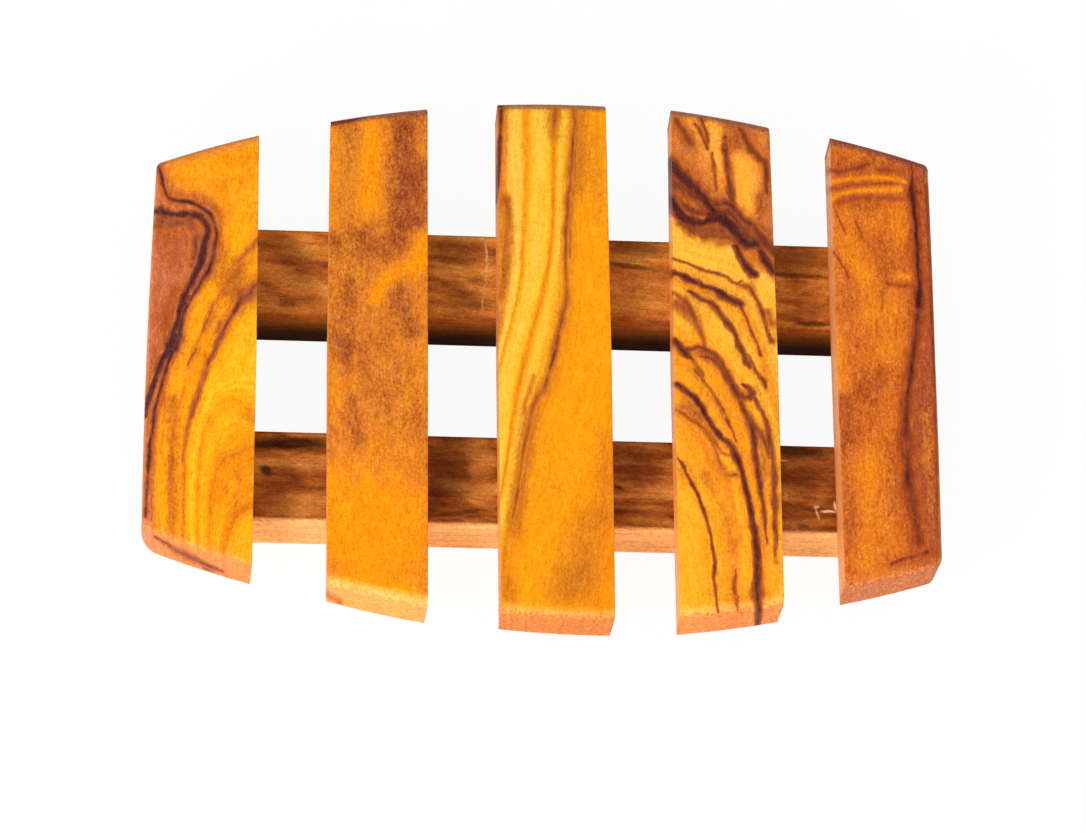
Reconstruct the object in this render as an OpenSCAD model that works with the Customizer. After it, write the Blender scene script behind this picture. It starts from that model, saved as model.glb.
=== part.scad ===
/* [Slats] */
// Thickness of every slat
slat_t = 8; // [7:0.5:12]
// Width of the left end slat, at its widest
left_end_slat_w = 16.8; // [13:0.2:20]
// Width of the left slat
left_slat_w = 15.2; // [12:0.2:20]
// Width of the middle slat
middle_slat_w = 16.8; // [14:0.2:20]
// Width of the right slat
right_slat_w = 15.6; // [12:0.2:20]
// Width of the right end slat, at its widest
right_end_slat_w = 15.4; // [13:0.2:20]
// Gap between the left end slat and the left slat
left_end_gap = 10.4; // [6:0.2:14]
// Gap between the left slat and the middle slat
left_gap = 10.8; // [6:0.2:14]
// Gap between the middle slat and the right slat
right_gap = 9.8; // [6:0.2:14]
// Gap between the right slat and the right end slat
right_end_gap = 9.4; // [6:0.2:14]

/* [Outline] */
// Length of the dish between the crowns of its two end curves
dish_l = 84.8; // [80:0.2:100]
// Radius of the curve that the slat ends are cut to
end_arc_r = 166; // [140:2:260]
// How far right of the middle the crown of the back curve lies
back_crown_x = 5; // [-5:0.5:6]
// How far right of the middle the crown of the front curve lies
front_crown_x = 3; // [-5:0.5:6]
// Radius of the shallow curve along the left side
left_side_r = 1230; // [600:10:2500]
// How far forward of the middle the left curve is widest
left_crown_forward = 20.5; // [0:0.5:25]
// Radius of the nearly straight curve along the right side
right_side_r = 2000; // [600:50:2500]
// How far forward of the middle the right curve is widest
right_crown_forward = 0; // [0:0.5:25]
// Radius of the two upright corners at the back
back_corner_r = 1.5; // [1.5:0.25:3]
// Radius of the two upright corners at the front
front_corner_r = 2.5; // [1.5:0.25:4]
// Rounding of the slats' top edges at the back
back_edge_r = 1.5; // [1:0.25:3]
// Rounding of the slats' top edges at the front
front_edge_r = 2.5; // [1:0.25:3]
// Rounding of the top edges along the two sides
side_edge_r = 2; // [1:0.25:3]

/* [Rails] */
// Width of each rail
rail_w = 14.8; // [10:0.2:18]
// Height of each rail
rail_h = 9; // [7:0.5:14]
// Distance between the rails, centre to centre
rail_spacing = 33.4; // [28:0.2:38]
// How far the pair of rails sits forward of the middle
rail_forward = 1.25; // [0:0.05:2]
// How far each rail's ends stop short of the outline
rail_setback = 1; // [0.5:0.25:3]
// Rounding of each rail's long top edges
rail_arris_r = 0.6; // [0.3:0.1:1.5]

/* [Pins] */
// Diameter of a pin's shank
pin_d = 1.4; // [1:0.1:2]
// Diameter of a pin's flat head
pin_head_d = 3; // [2.6:0.1:4]
// Thickness of a pin's head
pin_head_t = 0.6; // [0.4:0.1:1]
// Length of a pin's point
pin_point_l = 1.5; // [1:0.25:2]
// How deep a pin goes into its slat
pin_bite = 4.5; // [3:0.25:5.5]
// How deep a pin's head is set below the underside of the rail
pin_set = 0.5; // [0.3:0.1:1]

/* [Hidden] */

// Radial room between a pin and its hole
pin_room = 0.05;
// How far a corner's rounding would stand out past each arc that it crosses
corner_cross = 0.15;
// How far a cut runs past the face that it opens
overrun = 1;
// Facets round the outline's arcs and round a pin
arc_fn = 720;
pin_fn = 48;

light_wood = "goldenrod";
mid_wood = "peru";
dark_wood = "sienna";
rail_wood = "saddlebrown";
pin_metal = "silver";

slat_widths = [left_end_slat_w, left_slat_w, middle_slat_w, right_slat_w, right_end_slat_w];
slat_gaps = [left_end_gap, left_gap, right_gap, right_end_gap];
last_slat = len(slat_widths) - 1;

// Sum of the first n entries of a list
function sum_to(list, n) = n == 0 ? 0 : list[n - 1] + sum_to(list, n - 1);

dish_w = sum_to(slat_widths, len(slat_widths)) + sum_to(slat_gaps, len(slat_gaps));
dish_h = rail_h + slat_t;

// Left edge and centre of slat i, counted from the left
function slat_left(i) = -dish_w / 2 + sum_to(slat_widths, i) + sum_to(slat_gaps, i);
function slat_centre(i) = slat_left(i) + slat_widths[i] / 2;

back_rail_y = rail_spacing / 2 - rail_forward;
front_rail_y = -rail_spacing / 2 - rail_forward;

// The four arcs that bound the outline; side is -1 for front or left and 1 for back or right
function end_centre(side) =
    [side > 0 ? back_crown_x : front_crown_x, side * (dish_l / 2 - end_arc_r)];
function side_r(side) = side > 0 ? right_side_r : left_side_r;
function side_centre(side) =
    [side * (dish_w / 2 - side_r(side)), side > 0 ? -right_crown_forward : -left_crown_forward];
function corner_r(side_y) = side_y > 0 ? back_corner_r : front_corner_r;

// Where two circles meet, on the side of the line between their centres that turn (-1 or 1) picks
function circles_meet(a, ra, b, rb, turn) =
    let (d = norm(b - a),
         u = (b - a) / d,
         along = (d * d + ra * ra - rb * rb) / (2 * d),
         across = sqrt(ra * ra - along * along))
    a + along * u + turn * across * [-u[1], u[0]];

// Centre of the upright rounding at one corner, from the arcs that it blends
function corner_centre(side_x, side_y) =
    circles_meet(end_centre(side_y), end_arc_r - corner_r(side_y) + corner_cross,
                 side_centre(side_x), side_r(side_x) - corner_r(side_y) + corner_cross,
                 side_x * side_y > 0 ? -1 : 1);

// Disc of radius r, as thick as a slat, whose top rim is rounded to edge_r
module soft_disc(r, edge_r) {
    rotate_extrude($fn = arc_fn) {
        square([r - edge_r, slat_t]);
        square([r, slat_t - edge_r]);
        translate([r - edge_r, slat_t - edge_r])
            circle(edge_r, $fn = pin_fn);
    }
}

// The wedge outside one corner's rounding, which the corner loses
module corner_waste(side_x, side_y) {
    centre = corner_centre(side_x, side_y);
    to_end = (centre - end_centre(side_y)) / norm(centre - end_centre(side_y));
    to_side = (centre - side_centre(side_x)) / norm(centre - side_centre(side_x));
    reach = 2 * corner_r(side_y);
    translate([centre[0], centre[1], -overrun])
        difference() {
            linear_extrude(slat_t + 2 * overrun)
                polygon([[0, 0], reach * to_end, reach * (to_end + to_side), reach * to_side]);
            translate([0, 0, -overrun])
                cylinder(h = slat_t + 4 * overrun, r = corner_r(side_y), $fn = pin_fn * 2);
        }
}

// One pin with its head down at z = 0; grow widens it by that much all round, for its hole
module pin_body(grow) {
    shank_r = pin_d / 2 + grow;
    shank_top = rail_h - pin_set + pin_bite - pin_point_l;
    cylinder(h = pin_head_t, r = pin_head_d / 2 + grow, $fn = pin_fn);
    cylinder(h = shank_top, r = shank_r, $fn = pin_fn);
    translate([0, 0, shank_top])
        cylinder(h = pin_point_l + grow, r1 = shank_r, r2 = 0, $fn = pin_fn);
}

// The hole that the pin of slat i goes into, with the head's counterbore open at the underside
module pin_hole(i, rail_y) {
    translate([slat_centre(i), rail_y, pin_set]) {
        pin_body(pin_room);
        translate([0, 0, -pin_set - overrun])
            cylinder(h = pin_set + overrun, r = pin_head_d / 2 + pin_room, $fn = pin_fn);
    }
}

// The two holes in the underside of slat i
module slat_holes(i) {
    pin_hole(i, back_rail_y);
    pin_hole(i, front_rail_y);
}

// Slat i with both ends cut to the outline, standing on z = 0
module slat_bar(i) {
    intersection() {
        translate(end_centre(-1))
            soft_disc(end_arc_r, front_edge_r);
        translate(end_centre(1))
            soft_disc(end_arc_r, back_edge_r);
        translate([slat_left(i), -dish_l, 0])
            cube([slat_widths[i], 2 * dish_l, slat_t]);
    }
}

// One of the three slats between the end slats
module inner_slat(i) {
    difference() {
        translate([0, 0, rail_h])
            slat_bar(i);
        slat_holes(i);
    }
}

// An end slat, whose outer side (-1 left, 1 right) follows the shallow side curve
module end_slat(i, side) {
    difference() {
        translate([0, 0, rail_h])
            difference() {
                intersection() {
                    slat_bar(i);
                    translate(side_centre(side))
                        soft_disc(side_r(side), side_edge_r);
                }
                corner_waste(side, -1);
                corner_waste(side, 1);
            }
        slat_holes(i);
    }
}

// Section of a rail: flat underneath, with both top edges rounded
module rail_section() {
    translate([-rail_w / 2, 0])
        square([rail_w, rail_h - rail_arris_r]);
    translate([-rail_w / 2 + rail_arris_r, 0])
        square([rail_w - 2 * rail_arris_r, rail_h]);
    for (side = [-1, 1])
        translate([side * (rail_w / 2 - rail_arris_r), rail_h - rail_arris_r])
            circle(rail_arris_r, $fn = pin_fn);
}

// A rail along X at rail_y, its ends cut to the outline and set back
module rail(rail_y) {
    difference() {
        intersection() {
            translate([-dish_w / 2, rail_y, 0])
                rotate([90, 0, 90])
                    linear_extrude(dish_w)
                        rail_section();
            between_sides();
        }
        for (i = [0 : last_slat])
            pin_hole(i, rail_y);
    }
}

// The space between the two set-back side arcs, as tall as a rail
module between_sides() {
    intersection_for (side = [-1, 1])
        translate(side_centre(side))
            cylinder(h = rail_h, r = side_r(side) - rail_setback, $fn = arc_fn);
}

// The row of pins that fasten the slats to one rail
module rail_pins(rail_y) {
    for (i = [0 : last_slat])
        translate([slat_centre(i), rail_y, pin_set])
            pin_body(0);
}

module left_end_slat() { color(light_wood) end_slat(0, -1); }
module left_slat() { color(mid_wood) inner_slat(1); }
module middle_slat() { color(light_wood) inner_slat(2); }
module right_slat() { color(light_wood) inner_slat(3); }
module right_end_slat() { color(dark_wood) end_slat(last_slat, 1); }
module back_rail() { color(rail_wood) rail(back_rail_y); }
module front_rail() { color(rail_wood) rail(front_rail_y); }
module back_rail_pins() { color(pin_metal) rail_pins(back_rail_y); }
module front_rail_pins() { color(pin_metal) rail_pins(front_rail_y); }

left_end_slat();
left_slat();
middle_slat();
right_slat();
right_end_slat();
back_rail();
front_rail();
back_rail_pins();
front_rail_pins();
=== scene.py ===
import math

import bmesh
import bpy
import numpy as np
from mathutils import Matrix, Vector, noise


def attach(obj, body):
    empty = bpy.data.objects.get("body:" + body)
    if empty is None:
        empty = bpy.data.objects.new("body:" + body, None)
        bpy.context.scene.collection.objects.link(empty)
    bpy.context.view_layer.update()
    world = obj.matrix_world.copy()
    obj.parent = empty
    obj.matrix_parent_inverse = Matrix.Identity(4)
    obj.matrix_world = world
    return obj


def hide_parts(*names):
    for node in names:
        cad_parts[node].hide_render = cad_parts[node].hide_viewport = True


mm = 0.001

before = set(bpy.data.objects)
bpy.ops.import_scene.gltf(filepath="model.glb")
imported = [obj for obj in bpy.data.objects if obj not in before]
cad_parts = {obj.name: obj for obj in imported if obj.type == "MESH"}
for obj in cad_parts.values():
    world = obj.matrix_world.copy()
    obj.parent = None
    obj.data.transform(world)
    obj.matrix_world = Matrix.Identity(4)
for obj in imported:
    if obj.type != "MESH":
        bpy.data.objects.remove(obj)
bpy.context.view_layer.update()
print("frame loaded")


def colour(hexCode):
    # sRGB hex to the linear colour that the sockets take
    parts = [int(hexCode[i:i + 2], 16) / 255 for i in (1, 3, 5)]
    return [p / 12.92 if p <= 0.04045 else ((p + 0.055) / 1.055) ** 2.4 for p in parts] + [1.0]


def feed(tree, node, **inputs):
    # an input takes a value, or the node or socket that feeds it;
    # i0, i1 and so on are inputs by number, where their names repeat
    for key, value in inputs.items():
        socket = node.inputs[int(key[1:]) if key[1:].isdigit() else key.replace("_", " ")]
        if isinstance(value, bpy.types.Node):
            value = next(output for output in value.outputs if output.enabled)
        if isinstance(value, bpy.types.NodeSocket):
            tree.links.new(value, socket)
        else:
            socket.default_value = value
    return node


def addNode(tree, kind, settings=None, **inputs):
    # adds one node with its settings and links
    node = tree.nodes.new(kind)
    for key, value in (settings or {}).items():
        setattr(node, key, value)
    return feed(tree, node, **inputs)


# The shape of the slats, in mm until the mesh is scaled at the end.
# A side or an end is -1 at the left or front and 1 at the right or back.

outline = {
    "crownY": {-1: -42.4, 1: 42.4}, "crownX": {-1: 3.0, 1: 5.0},  # crowns of the two end curves
    "endRadius": 166.0,
    "sideCrownY": {-1: -20.5, 1: 0.0},  # where the two sides are widest
    "sideRadius": {-1: 1230.0, 1: 2000.0},
    "bottom": 9.0, "top": 17.0,  # heights of the slats' faces
    "edgeAt": (-40, 0, 40),  # y of the front, middle and back of a slat's long edges
}
division = {  # how a slat's mesh is divided
    "lengthways": 4, "margin": 3.6,  # cuts for the curve of the ends, and how far in the first one is
    "across": 9, "reach": 0.88,  # cuts for the curve of the sides, and the last one's share of the way
    "cornerFaces": 8, "rimFaces": 7, "arrisFaces": 2,
    "heights": (10, 11, 12, 13, 14), "belowRim": 0.4,  # level cuts, and how far under the rim the last one is
    # finer faces on top and in front, to this far under the rim and behind the front curve
    "fineCuts": 4, "fineDepth": 0.5, "fineFront": 1.0,
    "sharp": 0.9,  # radians, past which an edge is rounded
}


def endY(x, end):
    # y of the front or back curve at x
    radius = outline["endRadius"]
    return outline["crownY"][end] - end * (radius - np.sqrt(radius ** 2 - (x - outline["crownX"][end]) ** 2))


def sideInset(y, side):
    # how far the side curve has drawn in from its widest point at y
    radius = outline["sideRadius"][side]
    return radius - np.sqrt(radius ** 2 - (y - outline["sideCrownY"][side]) ** 2)


def cut(bm, place, normal):
    bmesh.ops.bisect_plane(bm, geom=bm.verts[:] + bm.edges[:] + bm.faces[:], dist=1e-5,
                           plane_co=place, plane_no=normal)


def bevel(bm, edges, offset, segments):
    bmesh.ops.bevel(bm, geom=edges, offset=offset, offset_type="OFFSET", segments=segments,
                    profile=0.5, affect="EDGES", material=-1, clamp_overlap=True)


def slatMesh(slat):
    x0, x1, outer = slat["left"], slat["left"] + slat["width"], slat["outerSide"]
    low, top, rim = outline["bottom"], outline["top"], slat["rim"]
    bm = bmesh.new()
    middle, size = Vector(((x0 + x1) / 2, 0, (low + top) / 2)), Vector((x1 - x0, 2, top - low))
    bmesh.ops.create_cube(bm, size=1, matrix=Matrix.LocRotScale(middle, None, size))
    # a few cuts, so that the ends and the outer side can follow their curves; y runs from -1 to 1 until then
    for x in np.linspace(x0 + division["margin"], x1 - division["margin"], division["lengthways"]):
        cut(bm, (x, 0, 0), (1, 0, 0))
    for y in np.linspace(-division["reach"], division["reach"], division["across"]):
        cut(bm, (0, y, 0), (0, 1, 0))
    for v in bm.verts:
        end, reach = (1 if v.co.y > 0 else -1), abs(v.co.y)
        across = (v.co.x - x0) / (x1 - x0)
        if outer:
            share = across if outer > 0 else 1 - across
            v.co.x -= outer * share * sideInset(endY(v.co.x, end) * reach, outer)
        endMore = slat["backMore"] if end > 0 else slat["frontMore"]
        v.co.y = (endY(v.co.x, end) + np.interp(across, (0, 1), endMore)) * reach
        edgeMore = [np.interp(v.co.y, outline["edgeAt"], slat[key]) for key in ("leftMore", "rightMore")]
        v.co.x += np.interp(across, (0, 1), edgeMore)
        if v.co.z < low + 1:
            v.co.x += (1 - across) * slat["undercut"]
    bm.normal_update()
    if outer:  # the two upright outer corners
        for end, radius in ((1, slat["backCorner"]), (-1, slat["frontCorner"])):
            furthest = max(outer * v.co.x for v in bm.verts if v.co.y * end > 0)
            upright = [e for e in bm.edges if all(
                outer * v.co.x > furthest - 1 and abs(v.co.y - endY(v.co.x, end)) < 1 for v in e.verts)
                and abs(e.verts[0].co.z - e.verts[1].co.z) > 1 and e.calc_face_angle() > division["sharp"]]
            bevel(bm, upright, radius, division["cornerFaces"])
    bm.normal_update()
    # rounded top edges along the ends and the outer side, then the arris of every other edge
    rims = []
    for e in bm.edges:
        if all(abs(v.co.z - top) < 0.01 for v in e.verts) and e.calc_face_angle() > division["sharp"]:
            wall = min(e.link_faces, key=lambda f: abs(f.normal.z)).normal
            if abs(wall.y) > 0.5 or outer * wall.x > 0.3:
                rims.append(e)
    bevel(bm, rims, rim, division["rimFaces"])
    bm.normal_update()
    arrises = [e for e in bm.edges if e.is_manifold and e.calc_face_angle() > division["sharp"]]
    bevel(bm, arrises, slat["arris"], division["arrisFaces"])
    # a 1 mm grid, five times finer on top and in front, to carry the wood's figure
    for k in range(1, int(x1 - x0)):
        cut(bm, (x0 + k, 0, 0), (1, 0, 0))
    for y in range(-43, 44):
        cut(bm, (0, y, 0), (0, 1, 0))
    for z in (*division["heights"], top - rim - division["belowRim"]):
        cut(bm, (0, 0, z), (0, 0, 1))
    fine = [e for e in bm.edges if all(
        v.co.z > top - rim - division["fineDepth"] or v.co.y < endY(v.co.x, -1) + division["fineFront"]
        for v in e.verts)]
    bmesh.ops.subdivide_edges(bm, edges=fine, cuts=division["fineCuts"], use_grid_fill=True)
    bmesh.ops.recalc_face_normals(bm, faces=bm.faces[:])
    bmesh.ops.scale(bm, vec=(mm, mm, mm), verts=bm.verts[:])
    mesh = bpy.data.meshes.new(slat["name"])
    bm.to_mesh(mesh)
    bm.free()
    mesh.polygons.foreach_set("use_smooth", [True] * len(mesh.polygons))
    mesh.set_sharp_from_angle(angle=math.radians(40))
    piece = bpy.data.objects.new(slat["name"], mesh)
    bpy.context.scene.collection.objects.link(piece)
    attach(piece, "root")
    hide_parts(slat["node"])
    return piece


# The wood's figure. Growth lines, strokes and veins are drawn on the top face and written into the mesh.

figure = {
    "lean": (-0.1, -0.4),  # how far it shifts across the top per mm of depth
    "lineStep": 1.5, "ease": 0.3,  # mm between samples of a growth line, and how loosely the field holds them
    # reach in mm, waves per mm along x and y, and layer of noise, by which strokes and veins waver
    "wavers": ((0.16, 0.8, 0.5, 0), (0.1, 2.6, 1.7, 4)),
    "swell": (0.5, 0.9, 0.45, 9),  # the same, for how much the veins' widths swing
    "veinReach": 2.1,  # half widths at which a vein has faded out
    "glowReach": (0.5, 1.7),  # mm, and half widths more, over which the glow round it fades
}


def growthField(growth, at):
    # a smooth field over the top face that holds each growth line's value along its path
    points, values = [], []
    for value, path in growth:
        for (ax, ay), (bx, by) in zip(path, path[1:]):
            steps = max(1, round(math.hypot(bx - ax, by - ay) / figure["lineStep"]))
            points += [(ax + (bx - ax) * k / steps, ay + (by - ay) * k / steps) for k in range(steps)]
            values += [value] * steps
        points.append(path[-1])
        values.append(value)
    points = np.array(points)
    count = len(points)

    def spread(a, b):
        far = ((a[:, None] - b[None]) ** 2).sum(-1) + 1e-9
        return 0.5 * far * np.log(far)

    flat = np.hstack([np.ones((count, 1)), points])
    eased = spread(points, points) + figure["ease"] * np.eye(count)
    system = np.block([[eased, flat], [flat.T, np.zeros((3, 3))]])
    pull = np.linalg.solve(system, np.array(values + [0, 0, 0]))
    return spread(at, points) @ pull[:count] + np.hstack([np.ones((len(at), 1)), at]) @ pull[count:]


def offLine(at, a, b):
    # how far each spot is from the line between a and b, and how far along that line it lies
    a, run = np.array(a), np.subtract(b, a)
    along = np.clip(((at - a) @ run) / (run @ run), 0, 1)
    return np.hypot(*(at - a - along[:, None] * run).T), along


def strokeTone(strokes, at):
    # broad strokes, browner (+) or more golden (-), soft at their edges
    total = np.zeros(len(at))
    for amount, width, path in strokes:
        nearest = np.min([offLine(at, a, b)[0] for a, b in zip(path, path[1:])], axis=0)
        total += amount * np.exp(-(nearest / width) ** 2)
    return total


def veinDepth(veins, at, wide):
    # dark veins, whose depth falls evenly to nothing, and the browner glow round each;
    # a path's points each have their own half width, and wide swells and thins them
    total, glow = np.zeros(len(at)), np.zeros(len(at))
    room, reach = figure["glowReach"]
    for depth, path in veins:
        for (*a, aHalf), (*b, bHalf) in zip(path, path[1:]):
            gap, along = offLine(at, a, b)
            half = (aHalf + (bHalf - aHalf) * along) * wide
            total = np.maximum(total, depth * np.clip(1 - gap / (figure["veinReach"] * half), 0, 1))
            glow = np.maximum(glow, depth * np.exp(-(gap / (room + reach * half)) ** 2))
    return total, glow


def markFigure(piece, slat):
    # writes the figure into the slat's mesh; at is where each vertex meets it on the top face
    spots = np.empty(len(piece.data.vertices) * 3)
    piece.data.vertices.foreach_get("co", spots)
    spots = spots.reshape(-1, 3) / mm
    at = spots[:, :2] + (outline["top"] - spots[:, 2:]) * np.array(figure["lean"])
    across = (spots[:, 0] - slat["left"]) / slat["width"]
    ends = {}
    for end, key in ((1, "backMore"), (-1, "frontMore")):
        gap = end * (endY(spots[:, 0], end) + np.interp(across, (0, 1), slat[key]) - spots[:, 1])
        ends[end] = np.clip(1 - gap / slat["rim"], 0, 1) ** 0.5
    waver = sum(reach * np.array([noise.noise_vector((x * alongX, y * alongY, layer)) for x, y in at])[:, :2]
                for reach, alongX, alongY, layer in figure["wavers"])
    reach, alongX, alongY, layer = figure["swell"]
    wide = np.array([1 + reach * noise.noise((x * alongX, y * alongY, layer)) for x, y in at])
    vein, glow = veinDepth(slat["veins"], at + waver, wide)
    marks = {
        "growth": growthField(slat["growth"], at),
        "tone": strokeTone(slat["strokes"], at + waver) + slat["glow"] * glow,
        "vein": vein,
        "ends": ends[1] - ends[-1],  # 1 on the back end, -1 on the front end
    }
    for name, values in marks.items():
        piece.data.attributes.new(name, "FLOAT", "POINT").data.foreach_set("value", values)


# The wood as a material. The rails share its first few functions.

plusTimes = {"operation": "MULTIPLY_ADD"}  # i0 times i1, plus i2
times = {"operation": "MULTIPLY"}
less = {"operation": "SUBTRACT"}


def grainPatterns(tree, place, patterns):
    # noise of a size in mm along each axis and some detail; it swings about 1 either side of 0
    swings = {}
    for name, (size, detail) in patterns.items():
        drawn = addNode(tree, "ShaderNodeMapping", Vector=place, Scale=[1 / s for s in size])
        cloudy = addNode(tree, "ShaderNodeTexNoise", Vector=drawn, Scale=1.0, Detail=detail, Roughness=0.6)
        swings[name] = addNode(tree, "ShaderNodeMapRange", {"clamp": False}, Value=cloudy,
                               From_Min=0.25, From_Max=0.75, To_Min=-1.0, To_Max=1.0)
    return swings


def tinted(tree, base, driver, start, full, share, tint, curve="LINEAR", blend="MIX"):
    # lays a colour over base, from none where the driver is at start to its share where it is at full
    amount = addNode(tree, "ShaderNodeMapRange", {"interpolation_type": curve}, Value=driver,
                     From_Min=start, From_Max=full, To_Max=share)
    settings = {"data_type": "RGBA", "blend_type": blend}
    tint = colour(tint) if isinstance(tint, str) else tint
    return addNode(tree, "ShaderNodeMix", settings, i0=amount, i6=base, i7=tint)


def newWood(name):
    # a new material, its node tree, and the place on the piece in mm
    made = bpy.data.materials.new(name)
    made.use_nodes = True
    coords = addNode(made.node_tree, "ShaderNodeTexCoord")
    place = addNode(made.node_tree, "ShaderNodeMapping", Vector=coords.outputs["Object"], Scale=[1 / mm] * 3)
    return made, made.node_tree, place


def oliveWood(slat):
    # oiled olive wood, sanded fine: saturated gold under dark veins, with a soft sheen and short fibres.
    # Real pores and fibres are finer than a render shows, so they are drawn 0.1 to 0.2 mm wide
    made, tree, place = newWood("oiled olive wood, " + slat["name"])
    spot = addNode(tree, "ShaderNodeSeparateXYZ", Vector=place)
    growth, tone, vein, ends = (addNode(tree, "ShaderNodeAttribute", {"attribute_name": key}).outputs["Fac"]
                                for key in ("growth", "tone", "vein", "ends"))
    swings = grainPatterns(tree, place, {
        "waves": ((2, 4.55, 2), 3),  # these bend the growth lines
        "clouds": ((2, 4, 2), 4),
        "grains": ((0.417, 0.667, 0.417), 3),
        "specks": ((0.238, 0.333, 0.238), 2),
        "fibres": ((0.2, 2.5, 0.2), 4),
        "mottles": ((0.667, 1.25, 0.667), 5),
        "pores": ((0.125, 0.714, 0.125), 2),
        "dust": ((0.455, 0.556, 0.455), 2),
    })
    # colour bands along the growth
    low, high = slat["bands"][0][0], slat["bands"][-1][0]
    value = addNode(tree, "ShaderNodeMath", plusTimes, i0=swings["waves"], i1=slat["wander"], i2=growth)
    share = addNode(tree, "ShaderNodeMapRange", Value=value, From_Min=low, From_Max=high)
    base = addNode(tree, "ShaderNodeValToRGB", Fac=share)
    stops = base.color_ramp.elements
    while len(stops) < len(slat["bands"]):
        stops.new(0.5)
    for stop, (at, hexCode) in zip(stops, slat["bands"]):
        stop.position = (at - low) / (high - low)
        stop.color = colour(hexCode)
    # the strokes, broken up by clouds and grains, then the walls and the two ends in their own tints; the
    # wall, rim and back tints are partly painted light
    tone = addNode(tree, "ShaderNodeMath", plusTimes, i0=swings["clouds"], i1=slat["cloud"], i2=tone)
    tone = addNode(tree, "ShaderNodeMath", plusTimes, i0=swings["grains"], i1=slat["grain"], i2=tone)
    ragged = addNode(tree, "ShaderNodeMath", plusTimes, i0=swings["grains"], i1=0.22, i2=ends)
    for driver, start, full, most, tint in (
            (tone, 0.0, 0.6, 0.55, "warmColour"),
            (tone, 0.1, 1.0, 0.95, "deepColour"),
            (tone, 0.0, -1.0, 0.95, "goldColour"),
            # the walls' paler tint: partly their drier wood, partly painted light that makes them look lit
            (spot.outputs["Z"], 16.95, 16.4, slat["wallShare"], "wallTintAndPaintedLight"),
            # the back end's greyer tint: partly its end grain, partly painted shade where it faces away from
            # the lamps
            (ragged, 0.25, 0.6, slat["backShare"], "backTintAndPaintedShade"),
            # the front rim's pale tint: partly end grain, partly a painted highlight on the rounded edge
            (ragged, -0.1, -0.6, slat["rimShare"], "rimTintAndPaintedHighlight"),
            (ragged, -0.75, -1.0, slat["frontShare"], "frontColour")):
        base = tinted(tree, base, driver, start, full, most, slat[tint])
    # veins with grainy edges: a warm fringe, a halo and a dark core
    frayed = vein
    for name, reach in (("specks", slat["fray"]), ("clouds", slat["patchy"])):
        around = addNode(tree, "ShaderNodeMath", plusTimes, i0=swings[name], i1=reach, i2=1.0)
        frayed = addNode(tree, "ShaderNodeMath", times, i0=frayed, i1=around)
    for start, full, most, tint in (
            (0.0, 0.25, 0.7, "warmColour"),
            (0.1, 0.46, 0.85, "haloColour"),
            (*slat["core"], 0.95, "veinColour")):
        base = tinted(tree, base, frayed, start, full, most, slat[tint], curve="SMOOTHSTEP")
    # light and dark: fine lines along the growth, fibres, specks and mottles; darker wood is warmer too
    alongGrowth = addNode(tree, "ShaderNodeMath", times, i0=value, i1=slat["fineCount"])
    alongSlat = addNode(tree, "ShaderNodeMath", times, i0=spot.outputs["Y"], i1=1 / 7.14)  # about 7 mm long
    lines = addNode(tree, "ShaderNodeCombineXYZ", X=alongGrowth, Y=alongSlat)
    lines = addNode(tree, "ShaderNodeTexNoise", {"noise_dimensions": "2D"}, Vector=lines,
                    Scale=1.0, Detail=4.0, Roughness=0.65)
    swings["lines"] = addNode(tree, "ShaderNodeMapRange", {"clamp": False}, Value=lines,
                              From_Min=0.25, From_Max=0.75, To_Min=-1.0, To_Max=1.0)
    light = slat["shade"]
    for name, key in (("lines", "fine"), ("fibres", "fibre"), ("specks", "speck"), ("mottles", "mottle")):
        light = addNode(tree, "ShaderNodeMath", plusTimes, i0=swings[name], i1=slat[key], i2=light)
    depth = addNode(tree, "ShaderNodeMath", less, i0=1 + slat["shade"], i1=light)
    base = addNode(tree, "ShaderNodeGamma", Color=base, Gamma=depth)
    base = addNode(tree, "ShaderNodeHueSaturation", Color=base, Hue=slat["hue"], Value=light)
    # pores as short dark dashes, and pale dust in the grain
    base = tinted(tree, base, swings["pores"], 0.56, 0.96, slat["pores"], "#C2641E", blend="MULTIPLY")
    base = tinted(tree, base, swings["dust"], 0.88, 1.16, slat["fleck"], "#F7C28A")
    sheen = addNode(tree, "ShaderNodeMath", plusTimes, i0=swings["clouds"], i1=0.05, i2=0.5)
    sunk = addNode(tree, "ShaderNodeMapRange", Value=swings["pores"],
                   From_Min=0.56, From_Max=0.96, To_Max=4 * slat["pores"])
    relief = addNode(tree, "ShaderNodeMath", less, i0=swings["fibres"], i1=sunk)
    bump = addNode(tree, "ShaderNodeBump", Height=relief, Strength=0.2, Distance=0.015 * mm)
    feed(tree, tree.nodes["Principled BSDF"], Base_Color=base, Roughness=sheen, Normal=bump,
         Specular_IOR_Level=0.08)
    return made


# The five slats, with lengths in mm. Their keys stand for:
# backCorner, frontCorner: radii of the upright outer corners
# rim, arris: radii of the top edges at the ends and the outer side, and of all the other edges
# undercut: how far the foot of the left wall is drawn in
# leftMore, rightMore: how far the long edges stand off their lines at the front, middle and back
# backMore, frontMore: how far the ends stand off their curve at left and right
# fineCount: fine lines for each step of growth
# fine, fibre, speck, mottle: how much these patterns lighten and darken the wood
# cloud, grain: how much these two break up the strokes
# wander: how much the growth lines waver
# fray, patchy: how broken the veins are
# core: depths at which a vein starts to darken and is darkest
# glow: how much browner the wood round a vein is
# fleck, pores: how much pale dust and dark pores show
# hue, shade: turn of all the colours, and how light they are
# wallShare, rimShare, backShare, frontShare: how much of these tints covers the wood there; the wall tint is
# partly painted light, the rim tint partly a painted highlight, the back tint partly painted shade
# growth: value along each growth line, and its path over the top face
# bands: colour at each value
# strokes: how much browner (+) or more golden (-), half width, path
# veins: how dark, and a path with the half width at each point

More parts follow.
